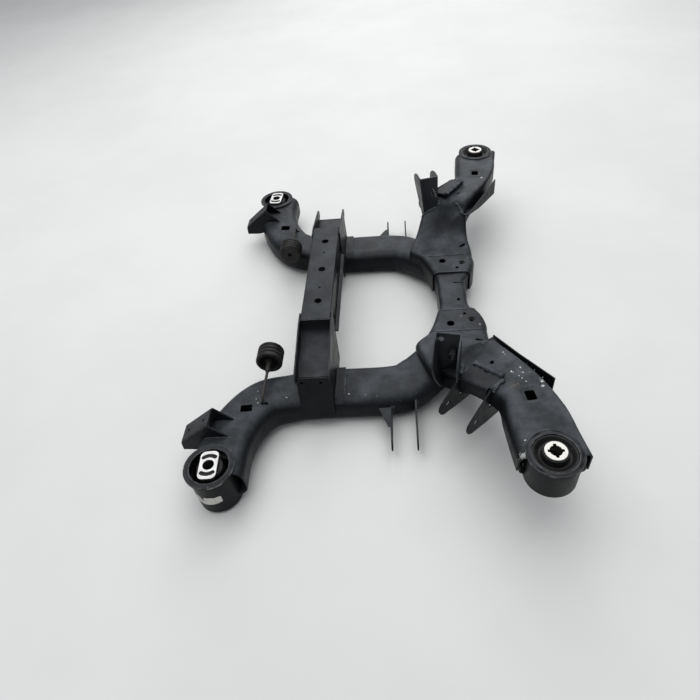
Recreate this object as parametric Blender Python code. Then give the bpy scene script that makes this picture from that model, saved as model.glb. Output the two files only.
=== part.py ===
"""Rear axle subframe of a large car: two hollow side tubes, a bolted cross beam, a pressed rear
crossmember that sweeps out into two raised arms, four mounting bushes and the welded brackets.

Metres, +Z up. +X runs from the slotted bushes to the round bushes, +Y is the left side, and the
subframe is the same on both sides of the plane y = 0. It stands on the flat undersides of its tubes.
"""

from math import cos, pi, radians, sin

import bmesh
import bpy
import numpy as np
from mathutils import Matrix, Vector

# Sheet, clearances and facets
SHEET = 0.003                 # wall of the pressed shells, beam and brackets
TUBE_WALL = 0.0032            # wall of the side tubes
CLEAR = 0.0003                # gap left between two pieces that touch
NEST_CLEAR = 0.0009           # gap between two shells that nest along a curved run
BEND = 0.004                  # outer radius of a folded bracket
SHARP_FOLD = 33               # degrees; flatter folds belong to a curve and aren't rounded
ROUND_STEPS = 24              # facets round a bush
HOLE_STEPS = 12               # facets round a hole
SIDES = ((1, "left"), (-1, "right"))

# Bushes: places of the four mounting axes, measured from the middle of the subframe
SLOTTED_BUSH_X = -0.2895
SLOTTED_BUSH_Y = 0.478
ROUND_BUSH_X = 0.311
ROUND_BUSH_Y = 0.523
CAN_RADIUS = 0.0435
CAN_WALL = 0.0026
SLOTTED_FLANGE_RADIUS = 0.0488
SLOTTED_LIP_RADIUS = 0.0373    # inner edge of the flange, which turns in over the rubber
SLOTTED_FLANGE_RISE = 0.0042  # flange above the tube's top
SLOTTED_CAN_BOTTOM = 0.006
ROUND_FLANGE_RADIUS = 0.0465
ROUND_LIP_RADIUS = 0.0362
ROUND_CAN_DEPTH = 0.060
ROUND_FLANGE_RISE = 0.003
CORE_WIDTH = 0.032
CORE_LENGTH = 0.059
CORE_THICKNESS = 0.008
CORE_TURN = 3.4               # degrees that the slotted core is turned from the y axis
CORE_BORE = 0.011
CORE_RING = 0.0145
CORE_SLOT_REACH = 0.020       # from the bore's axis to the middle of a slot
CORE_SLOT = 0.0068            # width of the two curved slots
RUBBER_DROP = 0.014           # rubber round the core, below its plate
SLEEVE_RADIUS = 0.018
SLEEVE_BORE = 0.0101
NOTCH_DEPTH = 0.004
NOTCH_WIDTH = 0.0054
SLEEVE_RISE = 0.009           # sleeve above the flange of its can

# Side tubes
TUBE_HALF = 0.054             # half of the tube's width
TUBE_CORNER = 0.026
TUBE_RUN_Y = 0.257            # centre line of the straight middle run
TUBE_TOP = 0.065              # top of the middle run
TUBE_END_TOP = 0.095          # top at the slotted bush
TUBE_END_MARGIN = 0.0090      # tube wall beyond the can, on each side
TUBE_END_SHIFT = 0.0105       # the tube's end is off the bush axis by this
TUBE_END_BOTTOM = 0.020

# Rear crossmember and arms
CROSS_TOP = 0.095
CROSS_BOTTOM = 0.036
CROSS_HALF_LENGTH = 0.141     # from the middle to the seam with an arm
CROSS_END_START = 0.070       # inner edge of the two end shells
CROSS_LAP = 0.014             # how far the middle shell reaches under an end shell
CROSS_CORNER = 0.016
PAN_LIP = 0.020               # height of the lower shells' side flanges
DRAIN_RADIUS = 0.008          # drain holes in the lower shells
NUT_X = 0.2335
NUT_FROM_SEAM = 0.035         # inward of the seam with the arm
NUT_HOLE = 0.0075             # clearance hole over a weld nut
NUT_RADIUS = 0.011
NUT_BORE = 0.0045
NUT_HEIGHT = 0.010
ARM_TOP = 0.178
ARM_BOTTOM = 0.125
ARM_END_Y = 0.526
ARM_END_MARGIN = 0.014        # arm wall beyond the can, on each side
ARM_SEAM_RISE = 0.011         # the upper shell's edge above the lower shell's bottom

# Cross beam
BEAM_X = -0.1045              # centre line of the beam
BEAM_WIDTH = 0.065
BEAM_TOP = 0.178
BEAM_HALF_LENGTH = 0.172
BEAM_DEPTH = 0.063
BEAM_FLANGE = 0.009
BEAM_HOLE_PITCH = 0.1135
BEAM_HOLE = 0.0075
BEAM_SMALL_HOLE = 0.0025

# Beam end brackets
SADDLE_LAP = 0.022            # how far the end bracket reaches along the beam's walls
SADDLE_END_Y = 0.312
SADDLE_TIP_TOP = 0.153
SADDLE_LIP_Z = 0.128
SADDLE_FOOT = 0.019           # width of the foot flange on the tube's top
APRON_HOLE = 0.0035

# Upper link bracket, an upright U on the root of each arm
UPPER_X = 0.139               # the web's corner towards the beam
UPPER_Y = 0.285
UPPER_TURN = 12.1             # degrees that the bracket is turned from the y axis
UPPER_WIDTH = 0.0495
UPPER_TOP = 0.232
UPPER_FOOT = 0.112
UPPER_REACH = 0.072
UPPER_HOLE = 0.0057

# Arm clevis
CLEVIS_X = 0.181
CLEVIS_Y = 0.385
CLEVIS_Z = 0.115
CLEVIS_TURN = 45.9            # degrees from the x axis to the clevis's bolt axis
CLEVIS_HALF_GAP = 0.0315
CLEVIS_HOLE = 0.006
CLEVIS_BACK = 0.072
CLEVIS_FRONT_INNER = 0.034    # roof's front corner by the inner ear, inward of the bolt axis
CLEVIS_FRONT_OUTER = 0.040
CLEVIS_MIDDLE = 0.054         # from the bolt axis to the middle of the roof
CLEVIS_RISE = -0.0052         # from the arm's top up to the middle of the roof
CLEVIS_LEAN = 0.17            # slope of the roof along the bolt axis
CLEVIS_DROP = 0.18            # slope of the roof towards the bolt axis
CLEVIS_NOSE = 0.008           # radius of the roof's front edge
CLEVIS_LIP = 0.020

# Front link bracket and the ears under the tubes
FRONT_INNER_Y = 0.362
FRONT_WIDTH = 0.047
FRONT_APEX_X = -0.302
FRONT_APEX_Z = 0.129
EAR_X = 0.050
EAR_SPACING = 0.051
EAR_REACH = 0.077             # from the tube's wall to the bolt hole
EAR_HOLE_Z = 0.029
EAR_RADIUS = 0.017
EAR_HOLE = 0.006
EAR_GUSSET = 0.028            # width of the folded triangle at the tube

# Exhaust hanger on each tube
HANGER_X = -0.213
HANGER_Y = 0.200
HANGER_Z = 0.098
HANGER_RADIUS = 0.029
HANGER_LENGTH = 0.040
HANGER_GROOVES = 3
HANGER_ROD = 0.003
HANGER_STUD = 0.005
HANGER_FOOT_Y = 0.3185


def remove_old_objects():
    """Start from an empty scene."""
    for item in list(bpy.data.objects):
        bpy.data.objects.remove(item, do_unlink=True)


def make_material(name, colour, roughness, metallic):
    """A Principled BSDF material with a plain colour."""
    material = bpy.data.materials.new(name)
    material.use_nodes = True
    shader = material.node_tree.nodes["Principled BSDF"]
    shader.inputs["Base Color"].default_value = (*colour, 1.0)
    shader.inputs["Roughness"].default_value = roughness
    shader.inputs["Metallic"].default_value = metallic
    return material


def smooth_path(stations, per_span):
    """Catmull-Rom curve through rows of numbers, with per_span points between two rows."""
    rows = np.array(stations, dtype=float)
    ends = np.vstack([2 * rows[0] - rows[1], rows, 2 * rows[-1] - rows[-2]])
    found = []
    for index in range(len(rows) - 1):
        before, start, end, after = ends[index:index + 4]
        for share in np.arange(per_span) / per_span:
            found.append(0.5 * (2 * start + (end - before) * share
                                + (2 * before - 5 * start + 4 * end - after) * share ** 2
                                + (3 * start - before - 3 * end + after) * share ** 3))
    return np.array(found + [rows[-1]])


def sideways(path, turning):
    """Unit vectors in plan to the path's right: along +X where turning is 0, square to the path where 1."""
    run = np.gradient(path[:, :2], axis=0)
    run /= np.linalg.norm(run, axis=1)[:, None]
    square = np.stack([run[:, 1], -run[:, 0]], axis=1)
    across = np.array([1.0, 0.0]) + (square - [1.0, 0.0]) * np.reshape(turning, (-1, 1))
    return across / np.linalg.norm(across, axis=1)[:, None]


def rounded_ring(half, low, high, radius, steps=3):
    """Closed ring of (across, height) points round a rectangle with rounded corners."""
    radius = min(radius, 0.48 * (high - low), 0.98 * half)
    corners = ((half - radius, high - radius, 0), (radius - half, high - radius, 90),
               (radius - half, low + radius, 180), (half - radius, low + radius, 270))
    points = []
    for across, height, start in corners:
        for step in range(steps + 1):
            turn = radians(start + 90 * step / steps)
            points.append((across + radius * cos(turn), height + radius * sin(turn)))
    return points


def ease(share):
    """A smooth step from 0 to 1."""
    share = min(max(share, 0.0), 1.0)
    return share * share * (3 - 2 * share)


def cap_profile(half, low, high_left, high_right, radius, steps=3, across=4):
    """Open profile of an upper shell: left wall, corner, top that rises from left to right, corner, wall."""
    points = [(-half, low)]
    for step in range(steps + 1):
        turn = pi - 0.5 * pi * step / steps
        points.append((radius - half + radius * cos(turn), high_left - radius + radius * sin(turn)))
    for step in range(1, across):
        share = step / across
        height = high_left + (high_right - high_left) * ease(1.25 * share - 0.2)
        points.append(((2 * share - 1) * (half - radius), height))
    for step in range(steps + 1):
        turn = 0.5 * pi - 0.5 * pi * step / steps
        points.append((half - radius + radius * cos(turn), high_right - radius + radius * sin(turn)))
    points.append((half, low))
    return points


def pan_profile(half, low, lip, radius, steps=2):
    """Open profile of a lower shell: a shallow pan with its side flanges turned up."""
    points = [(half, low + lip)]
    for step in range(steps + 1):
        turn = -0.5 * pi * step / steps
        points.append((half - radius + radius * cos(turn), low + radius + radius * sin(turn)))
    mirrored = [(-across, height) for across, height in reversed(points)]
    return points + mirrored


def carry_profiles(path, profiles, turning):
    """Place one (across, height) profile at each path point: an array of stations, points and xyz."""
    across = sideways(path, turning)
    profile = np.array(profiles)
    placed = np.empty(profile.shape[:2] + (3,))
    placed[:, :, :2] = path[:, None, :2] + across[:, None, :] * profile[:, :, :1]
    placed[:, :, 2] = profile[:, :, 1]
    return placed


def loft_mesh(rings, closed, capped=False):
    """A bmesh surface through rings of points, with its faces turned away from the rings' middles."""
    mesh = bmesh.new()
    grid = [[mesh.verts.new(point) for point in ring] for ring in rings]
    count = len(rings[0])
    for near, far in zip(grid[:-1], grid[1:]):
        for index in range(count if closed else count - 1):
            after = (index + 1) % count
            mesh.faces.new((near[index], near[after], far[after], far[index]))
    middles = [Vector(np.mean(ring, axis=0)) for ring in rings]
    outward = 0.0
    mesh.normal_update()
    for face in mesh.faces:
        place = face.calc_center_median()
        middle = min(middles, key=lambda item: (item - place).length)
        outward += face.normal.dot(place - middle)
    if outward < 0:
        bmesh.ops.reverse_faces(mesh, faces=mesh.faces)
    if capped:
        mesh.faces.new(grid[0])
        mesh.faces.new(grid[-1])
        bmesh.ops.recalc_face_normals(mesh, faces=mesh.faces)
    return mesh


def mirrored(mesh, side):
    """The same bmesh on the given side of the plane y = 0."""
    if side < 0:
        bmesh.ops.transform(mesh, matrix=Matrix.Scale(-1, 4, (0, 1, 0)), verts=mesh.verts)
        bmesh.ops.reverse_faces(mesh, faces=mesh.faces)
    return mesh


def add_object(name, mesh, material=None, smooth_angle=35):
    """Turn a bmesh into a scene object."""
    data = bpy.data.meshes.new(name)
    mesh.to_mesh(data)
    mesh.free()
    item = bpy.data.objects.new(name, data)
    bpy.context.scene.collection.objects.link(item)
    if material:
        data.materials.append(material)
        data.shade_smooth()
        data.set_sharp_from_angle(angle=radians(smooth_angle))
    return item


def thicken(item, thickness):
    """Give a surface its sheet thickness, inwards from the side that its faces look at."""
    solidify = item.modifiers.new("sheet", "SOLIDIFY")
    solidify.thickness = thickness
    solidify.offset = -1
    solidify.use_even_offset = True


def cut(item, cutter):
    """Take a cutter's volume out of an object."""
    boolean = item.modifiers.new("cut by " + cutter.name, "BOOLEAN")
    boolean.operation = "DIFFERENCE"
    boolean.solver = "EXACT"
    boolean.object = cutter


def add_cutter(name, mesh):
    """A hidden object that only cuts others."""
    bmesh.ops.recalc_face_normals(mesh, faces=mesh.faces)
    item = add_object(name, mesh)
    item.hide_render = True
    item.display_type = "WIRE"
    return item


def add_drum(mesh, centre, axis, radius, length, steps=HOLE_STEPS):
    """Add a closed cylinder to a bmesh, centred on a point and lying along an axis."""
    turn = Vector((0, 0, 1)).rotation_difference(Vector(axis)).to_matrix().to_4x4()
    place = Matrix.Translation(centre) @ turn
    bmesh.ops.create_cone(mesh, cap_ends=True, segments=steps, radius1=radius, radius2=radius,
                          depth=length, matrix=place)


def add_box(mesh, centre, size, turn=0.0):
    """Add a box to a bmesh, turned by an angle in degrees about z."""
    place = Matrix.Translation(centre) @ Matrix.Rotation(radians(turn), 4, "Z")
    bmesh.ops.create_cube(mesh, size=1, matrix=place @ Matrix.Diagonal((*size, 1)))


def turned_mesh(profile, steps=ROUND_STEPS):
    """Spin a closed (radius, height) outline once round the z axis."""
    mesh = bmesh.new()
    verts = [mesh.verts.new((radius, 0, height)) for radius, height in profile]
    edges = [mesh.edges.new((verts[index - 1], verts[index])) for index in range(len(verts))]
    bmesh.ops.spin(mesh, geom=verts + edges, cent=(0, 0, 0), axis=(0, 0, 1), angle=2 * pi,
                   steps=steps, use_merge=True)
    bmesh.ops.remove_doubles(mesh, verts=mesh.verts, dist=1e-6)
    bmesh.ops.recalc_face_normals(mesh, faces=mesh.faces)
    return mesh


def folded_mesh(faces, bend=BEND, steps=2):
    """Flat sheets that share fold lines, with each fold rounded. The outside is where faces look."""
    mesh = bmesh.new()
    for corners in faces:
        mesh.faces.new([mesh.verts.new(corner) for corner in corners])
    bmesh.ops.remove_doubles(mesh, verts=mesh.verts, dist=1e-5)
    bmesh.ops.recalc_face_normals(mesh, faces=mesh.faces)
    middle = sum((vert.co for vert in mesh.verts), Vector()) / len(mesh.verts)
    if sum(face.normal.dot(face.calc_center_median() - middle) for face in mesh.faces) < 0:
        bmesh.ops.reverse_faces(mesh, faces=mesh.faces)
    folds = [edge for edge in mesh.edges
             if len(edge.link_faces) == 2 and edge.calc_face_angle(0) > radians(SHARP_FOLD)]
    if bend and folds:
        bmesh.ops.bevel(mesh, geom=folds, offset=bend, offset_type="OFFSET", segments=steps,
                        profile=0.5, affect="EDGES")
    return mesh


def push_outline(mesh, outline, height):
    """Add a closed prism to a bmesh: a level outline pushed up by a height."""
    face = mesh.faces.new([mesh.verts.new(point) for point in outline])
    pushed = bmesh.ops.extrude_face_region(mesh, geom=[face])
    moved = [item for item in pushed["geom"] if isinstance(item, bmesh.types.BMVert)]
    bmesh.ops.translate(mesh, vec=(0, 0, height), verts=moved)


def arc(centre, radius, start, end, steps):
    """Points on an arc in a plane, from one angle to another in degrees."""
    turns = np.radians(np.linspace(start, end, steps + 1))
    return [(centre[0] + radius * cos(turn), centre[1] + radius * sin(turn)) for turn in turns]


def tube_stations():
    """Rows of x, y, half width, bottom and top along the left side tube."""
    bush_x = SLOTTED_BUSH_X + TUBE_END_SHIFT
    end_half = CAN_RADIUS + TUBE_END_MARGIN
    return (
        (bush_x, SLOTTED_BUSH_Y + 0.014, end_half, TUBE_END_BOTTOM, TUBE_END_TOP),
        (bush_x, SLOTTED_BUSH_Y - 0.058, end_half, TUBE_END_BOTTOM - 0.002, TUBE_END_TOP - 0.002),
        (bush_x + 0.0175, 0.350, TUBE_HALF - 0.002, 0.012, TUBE_TOP + 0.023),
        (-0.222, TUBE_RUN_Y + 0.034, TUBE_HALF - 0.002, 0.005, TUBE_TOP + 0.015),
        (-0.165, TUBE_RUN_Y + 0.011, TUBE_HALF - 0.002, 0.0, TUBE_TOP + 0.005),
        (-0.100, TUBE_RUN_Y, TUBE_HALF + 0.002, 0.0, TUBE_TOP),
        (0.055, TUBE_RUN_Y - 0.004, TUBE_HALF + 0.001, 0.0, TUBE_TOP + 0.001),
        (0.108, TUBE_RUN_Y - 0.029, TUBE_HALF - 0.001, 0.006, TUBE_TOP + 0.005),
        (0.146, TUBE_RUN_Y - 0.066, TUBE_HALF - 0.004, 0.012, TUBE_TOP + 0.010),
        (0.176, TUBE_RUN_Y - 0.098, TUBE_HALF - 0.006, 0.018, TUBE_TOP + 0.012),
    )


def tube_mesh(side, grow=0.0, filled=False):
    """The side tube's outer skin, or a filled body of it, grown on every side."""
    path = smooth_path(tube_stations(), 2)
    path[:, 3] = np.maximum(path[:, 3], 0)
    rings = [rounded_ring(half + grow, low - grow, high + grow, TUBE_CORNER)
             for half, low, high in path[:, 2:5]]
    placed = carry_profiles(path, rings, np.ones(len(path)))
    return mirrored(loft_mesh(placed, closed=True, capped=filled), side)


def arm_stations():
    """Rows of x, y, half width, bottom, top at left and at right, and turning, along the left arm.

    Each row is typed with its share of the way in y from the seam to the arm's end.
    """
    end_half = CAN_RADIUS + ARM_END_MARGIN
    seam = CROSS_HALF_LENGTH + CLEAR
    rows = (
        (0.1985, 0.0000, 0.0655, CROSS_BOTTOM, CROSS_TOP, CROSS_TOP, 0),
        (0.1850, 0.0746, 0.0790, CROSS_BOTTOM, CROSS_TOP, CROSS_TOP + 0.003, 0),
        (0.1860, 0.1656, 0.0720, CROSS_BOTTOM + 0.010, CROSS_TOP + 0.002, CROSS_TOP + 0.018, 0.2),
        (0.1930, 0.2643, 0.0640, CROSS_BOTTOM + 0.032, CROSS_TOP + 0.012, 0.148, 0.6),
        (0.2080, 0.3657, 0.0590, ARM_BOTTOM - 0.030, ARM_TOP - 0.032, ARM_TOP - 0.004, 1),
        (0.2441, 0.4793, 0.0515, ARM_BOTTOM - 0.004, ARM_TOP - 0.011, ARM_TOP, 1),
        (0.2851, 0.6215, 0.0455, ARM_BOTTOM, ARM_TOP, ARM_TOP, 1),
        (ROUND_BUSH_X - 0.0115, 0.7647, end_half - 0.0045, ARM_BOTTOM, ARM_TOP, ARM_TOP, 1),
        (ROUND_BUSH_X - 0.005, 0.8934, end_half - 0.002, ARM_BOTTOM, ARM_TOP, ARM_TOP, 0.5),
        (ROUND_BUSH_X + 0.001, 1.0000, end_half, ARM_BOTTOM, ARM_TOP, ARM_TOP, 0),
    )
    return [(x, seam + share * (ARM_END_Y - seam), *rest) for x, share, *rest in rows]


def arm_path():
    """The left arm's stations, made smooth."""
    return smooth_path(arm_stations(), 2)


def arm_upper_mesh(side):
    """Outer skin of an arm's upper shell."""
    path = arm_path()
    edges = path[:, 3] + ARM_SEAM_RISE * np.clip((path[:, 1] - path[0, 1]) / 0.06, 0, 1)
    profiles = [cap_profile(half, edge, left, right, CROSS_CORNER)
                for edge, (half, low, left, right) in zip(edges, path[:, 2:6])]
    return mirrored(loft_mesh(carry_profiles(path, profiles, path[:, 6]), closed=False), side)


def arm_lower_mesh(side):
    """Outer skin of an arm's lower shell, which nests inside the upper one."""
    path = arm_path()
    inset = SHEET + NEST_CLEAR
    profiles = [pan_profile(half - inset, low, PAN_LIP, CROSS_CORNER - inset) for half, low in path[:, 2:4]]
    return mirrored(loft_mesh(carry_profiles(path, profiles, path[:, 6]), closed=False), side)


def arm_body_mesh(side, grow=CLEAR):
    """Both shells of an arm as one filled body, grown on every side."""
    path = arm_path()
    profiles = [cap_profile(half + grow, low - grow, left + grow, right + grow, CROSS_CORNER)
                for half, low, left, right in path[:, 2:6]]
    placed = carry_profiles(path, profiles, path[:, 6])
    return mirrored(loft_mesh(placed, closed=True, capped=True), side)


def cross_stations():
    """Rows of x, y and half width along the rear crossmember, from its middle to the seam with an arm."""
    return (
        (0.2005, 0.0, 0.0375),
        (0.2005, 0.045, 0.0375),
        (0.2065, 0.082, 0.0510),
        (0.2050, 0.115, 0.0605),
        (0.1985, CROSS_HALF_LENGTH, 0.0655),
    )


def cross_path(start, end, count):
    """The crossmember's x, y and half width at evenly spaced places, the same on both sides."""
    rows = cross_stations()
    both = [(x, -y, half) for x, y, half in reversed(rows[1:])] + list(rows)
    fine = smooth_path(both, 8)
    places = np.linspace(start, end, count)
    return np.stack([np.interp(places, fine[:, 1], fine[:, 0]), places,
                     np.interp(places, fine[:, 1], fine[:, 2])], axis=1)


def cross_end_mesh(side):
    """Outer skin of the raised shell between the crossmember's middle and one arm."""
    path = cross_path(CROSS_END_START, CROSS_HALF_LENGTH, 6)
    profiles = [cap_profile(half, CROSS_BOTTOM, CROSS_TOP, CROSS_TOP, CROSS_CORNER, 2, 2)
                for half in path[:, 2]]
    return mirrored(loft_mesh(carry_profiles(path, profiles, np.zeros(len(path))), closed=False), side)


def cross_middle_mesh():
    """Outer skin of the crossmember's middle shell, which laps under both end shells."""
    reach = CROSS_END_START + CROSS_LAP
    path = cross_path(-reach, reach, 13)
    inset = SHEET + NEST_CLEAR
    high = CROSS_TOP - inset
    profiles = [cap_profile(half - inset, CROSS_BOTTOM, high, high, CROSS_CORNER - inset, 2, 2)
                for half in path[:, 2]]
    return loft_mesh(carry_profiles(path, profiles, np.zeros(len(path))), closed=False)


def cross_lower_mesh():
    """Outer skin of the crossmember's lower shell, nested inside the middle shell."""
    reach = CROSS_HALF_LENGTH - CLEAR
    path = cross_path(-reach, reach, 21)
    inset = 2 * (SHEET + NEST_CLEAR)
    profiles = [pan_profile(half - inset, CROSS_BOTTOM, PAN_LIP, CROSS_CORNER - inset)
                for half in path[:, 2]]
    return loft_mesh(carry_profiles(path, profiles, np.zeros(len(path))), closed=False)


def add_tube(side, name, paint):
    """Hollow side tube with its square access hole and hanger slot, cut round by the slotted bush."""
    item = add_object("side_tube_" + name, tube_mesh(side), paint, 30)
    thicken(item, TUBE_WALL)
    holes = bmesh.new()
    top = TUBE_END_TOP
    add_box(holes, (-0.2465, side * 0.333, top), (0.024, 0.019, 0.05), side * -6)
    slot_width = 2 * HANGER_ROD + 4 * CLEAR
    add_box(holes, (HANGER_X + 0.001, side * HANGER_FOOT_Y, top), (0.015, slot_width, 0.06))
    cut(item, add_cutter("tube_holes_" + name, holes))
    bush = bmesh.new()
    add_drum(bush, (SLOTTED_BUSH_X, side * SLOTTED_BUSH_Y, top / 2), (0, 0, 1), CAN_RADIUS + CLEAR,
             2 * top, ROUND_STEPS)
    cut(item, add_cutter("slotted_bush_place_" + name, bush))
    outer_wall = bmesh.new()
    add_box(outer_wall, (SLOTTED_BUSH_X - CAN_RADIUS, side * (SLOTTED_BUSH_Y + CAN_RADIUS - 0.008), top / 2),
            (2 * CAN_RADIUS, 2 * CAN_RADIUS, 2 * top))
    cut(item, add_cutter("tube_outer_end_" + name, outer_wall))


def add_cross(paint, tubes):
    """The crossmember's middle shell with its hole and slot, and the lower shell with its drains."""
    middle = add_object("crossmember_middle", cross_middle_mesh(), paint)
    thicken(middle, SHEET)
    holes = bmesh.new()
    add_drum(holes, (0.212, -0.031, CROSS_TOP), (0, 0, 1), 0.0045, 0.03)
    add_box(holes, (0.219, 0.032, CROSS_TOP), (0.028, 0.003, 0.03))
    cut(middle, add_cutter("crossmember_holes", holes))
    lower = add_object("crossmember_lower", cross_lower_mesh(), paint)
    thicken(lower, SHEET)
    drains = bmesh.new()
    for side, _ in SIDES:
        add_drum(drains, (0.2, side * 0.09, CROSS_BOTTOM), (0, 0, 1), DRAIN_RADIUS, 0.03)
    cut(lower, add_cutter("crossmember_drains", drains))
    for tube in tubes:
        cut(lower, tube)


def add_cross_end(side, name, paint, tube):
    """One end shell of the crossmember, with its large hole, small hole and weld nut hole."""
    item = add_object("crossmember_end_" + name, cross_end_mesh(side), paint)
    thicken(item, SHEET)
    holes = bmesh.new()
    seam = CROSS_HALF_LENGTH
    for x, y, radius in ((0.186, seam - 0.024, 0.0085), (NUT_X, seam - NUT_FROM_SEAM, NUT_HOLE),
                         (0.220, CROSS_END_START + 0.0165, 0.004)):
        add_drum(holes, (x, side * y, CROSS_TOP), (0, 0, 1), radius, 0.03)
    beyond = CROSS_HALF_LENGTH - CLEAR
    add_box(holes, (NUT_X, side * 1.5 * beyond, CROSS_TOP), (beyond * 2, beyond, beyond * 2))
    cut(item, add_cutter("cross_end_holes_" + name, holes))
    cut(item, tube)


def add_arm(side, name, paint, tube):
    """Upper and lower shells of one arm, cut round by the side tube and the round bush."""
    bush = bmesh.new()
    add_drum(bush, (ROUND_BUSH_X, side * ROUND_BUSH_Y, ARM_TOP), (0, 0, 1), CAN_RADIUS + CLEAR,
             4 * ROUND_CAN_DEPTH, ROUND_STEPS)
    place = add_cutter("round_bush_place_" + name, bush)
    holes = bmesh.new()
    add_box(holes, (0.296, side * 0.401, ARM_TOP), (0.018, 0.022, 0.03), side * -8)
    add_drum(holes, (0.243, side * 0.312, ARM_TOP), (0, 0, 1), 0.004, 0.04)
    tops = add_cutter("arm_holes_" + name, holes)
    drains = bmesh.new()
    add_drum(drains, (0.290, side * 0.420, ARM_BOTTOM), (0, 0, 1), DRAIN_RADIUS, 0.03)
    add_drum(drains, (0.200, side * 0.170, CROSS_BOTTOM), (0, 0, 1), DRAIN_RADIUS, 0.03)
    bottoms = add_cutter("arm_drains_" + name, drains)
    shells = (("upper", arm_upper_mesh(side), tops), ("lower", arm_lower_mesh(side), bottoms))
    for part, mesh, opened in shells:
        item = add_object("arm_%s_%s" % (part, name), mesh, paint)
        thicken(item, SHEET)
        for cutter in (place, opened, tube):
            cut(item, cutter)


def add_sheet(name, side, faces, paint, cutters, holes=None, thickness=SHEET, bend=BEND):
    """A folded bracket on one side, with its holes and with room for the pieces it sits on."""
    item = add_object(name, mirrored(folded_mesh(faces, bend), side), paint)
    thicken(item, thickness)
    if holes:
        cut(item, add_cutter("holes_" + name, mirrored(holes, side)))
    for cutter in cutters:
        cut(item, cutter)
    return item


def add_beam(paint, tubes):
    """Inverted channel between the side tubes, with its foot flanges between the end brackets."""
    left, right = BEAM_X - BEAM_WIDTH / 2, BEAM_X + BEAM_WIDTH / 2
    free = BEAM_HALF_LENGTH - SADDLE_LAP - 2 * SHEET
    low = BEAM_TOP - BEAM_DEPTH
    rows = (-BEAM_HALF_LENGTH, -free, free, BEAM_HALF_LENGTH)
    faces = []
    for near, far in zip(rows[:-1], rows[1:]):
        section = [(left, low), (left, BEAM_TOP), (right, BEAM_TOP), (right, low)]
        if max(abs(near), abs(far)) <= free:
            section = [(left - BEAM_FLANGE, low)] + section + [(right + BEAM_FLANGE, low)]
        for (x, z), (next_x, next_z) in zip(section[:-1], section[1:]):
            faces.append(((x, near, z), (next_x, near, next_z), (next_x, far, next_z), (x, far, z)))
    item = add_object("cross_beam", folded_mesh(faces), paint)
    thicken(item, SHEET)
    holes = bmesh.new()
    for index in (-1, 0, 1):
        add_drum(holes, (BEAM_X + 0.002, index * BEAM_HOLE_PITCH, BEAM_TOP), (0, 0, 1), BEAM_HOLE, 0.03)
    for side, _ in SIDES:
        add_drum(holes, (BEAM_X + 0.002, side * 0.067, BEAM_TOP), (0, 0, 1), BEAM_SMALL_HOLE, 0.03, 8)
        add_box(holes, (right, side * (free - 0.012), BEAM_TOP - 0.042), (0.02, 0.040, 0.020))
    add_box(holes, (right, 0.015, BEAM_TOP - 0.038), (0.02, 0.085, 0.026))
    cut(item, add_cutter("beam_holes", holes))
    for tube in tubes:
        cut(item, tube)


def add_beam_bracket(side, name, paint, tube):
    """Saddle that carries one end of the beam: two walls, a sloping floor with its lip, an apron and feet."""
    inside = BEAM_WIDTH / 2 + CLEAR
    left, right = BEAM_X - inside - SHEET, BEAM_X + inside + SHEET
    start, end = BEAM_HALF_LENGTH - SADDLE_LAP, SADDLE_END_Y
    under_beam = BEAM_HALF_LENGTH + CLEAR
    lip_y = end - 0.016
    apron_y = end + 0.008
    foot_z = TUBE_TOP - 0.030
    rim = BEAM_TOP - 0.002
    faces = []
    flat = TUBE_HALF + 0.002 - TUBE_CORNER
    seat = TUBE_CORNER + SHEET + 2 * CLEAR
    middle = (TUBE_RUN_Y - 0.001, TUBE_TOP - TUBE_CORNER)
    foot = (arc((middle[0] + flat, middle[1]), seat, 40, 90, 3)
            + arc((middle[0] - flat, middle[1]), seat, 90, 140, 3))
    for wall in (left, right):
        outline = [(wall, start, rim), (wall, under_beam + 0.010, rim), (wall, end - 0.010, SADDLE_TIP_TOP),
                   (wall, end, SADDLE_TIP_TOP - 0.008), (wall, end, SADDLE_LIP_Z + 0.002),
                   (wall, lip_y, SADDLE_LIP_Z), (wall, apron_y, foot_z)]
        if wall > BEAM_X:
            outline.append((wall, foot[0][0], foot_z))
            outline += [(wall, y, z) for y, z in foot]
            outline.append((wall, foot[-1][0], foot_z))
        outline.append((wall, start, foot_z))
        faces.append(outline)
    edge = right + SADDLE_FOOT
    for near, far in zip(foot[:-1], foot[1:]):
        faces.append(((right, *near), (edge, *near), (edge, *far), (right, *far)))
    faces.append(((left, lip_y, SADDLE_LIP_Z), (right, lip_y, SADDLE_LIP_Z), (right, apron_y, foot_z),
                  (left, apron_y, foot_z)))
    holes = bmesh.new()
    for x in (BEAM_X - 0.0255, BEAM_X + 0.0135):
        add_drum(holes, (x, lip_y + 0.003, SADDLE_LIP_Z - 0.012), (0, 1, 0), APRON_HOLE, 0.02)
    add_drum(holes, (right, middle[0] - 0.003, TUBE_TOP + 0.035), (1, 0, 0), APRON_HOLE, 0.02)
    add_sheet("beam_bracket_" + name, side, faces, paint, [tube], holes)
    add_saddle_floor(side, name, paint, inside - CLEAR, lip_y - SHEET - 4 * CLEAR)


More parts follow.
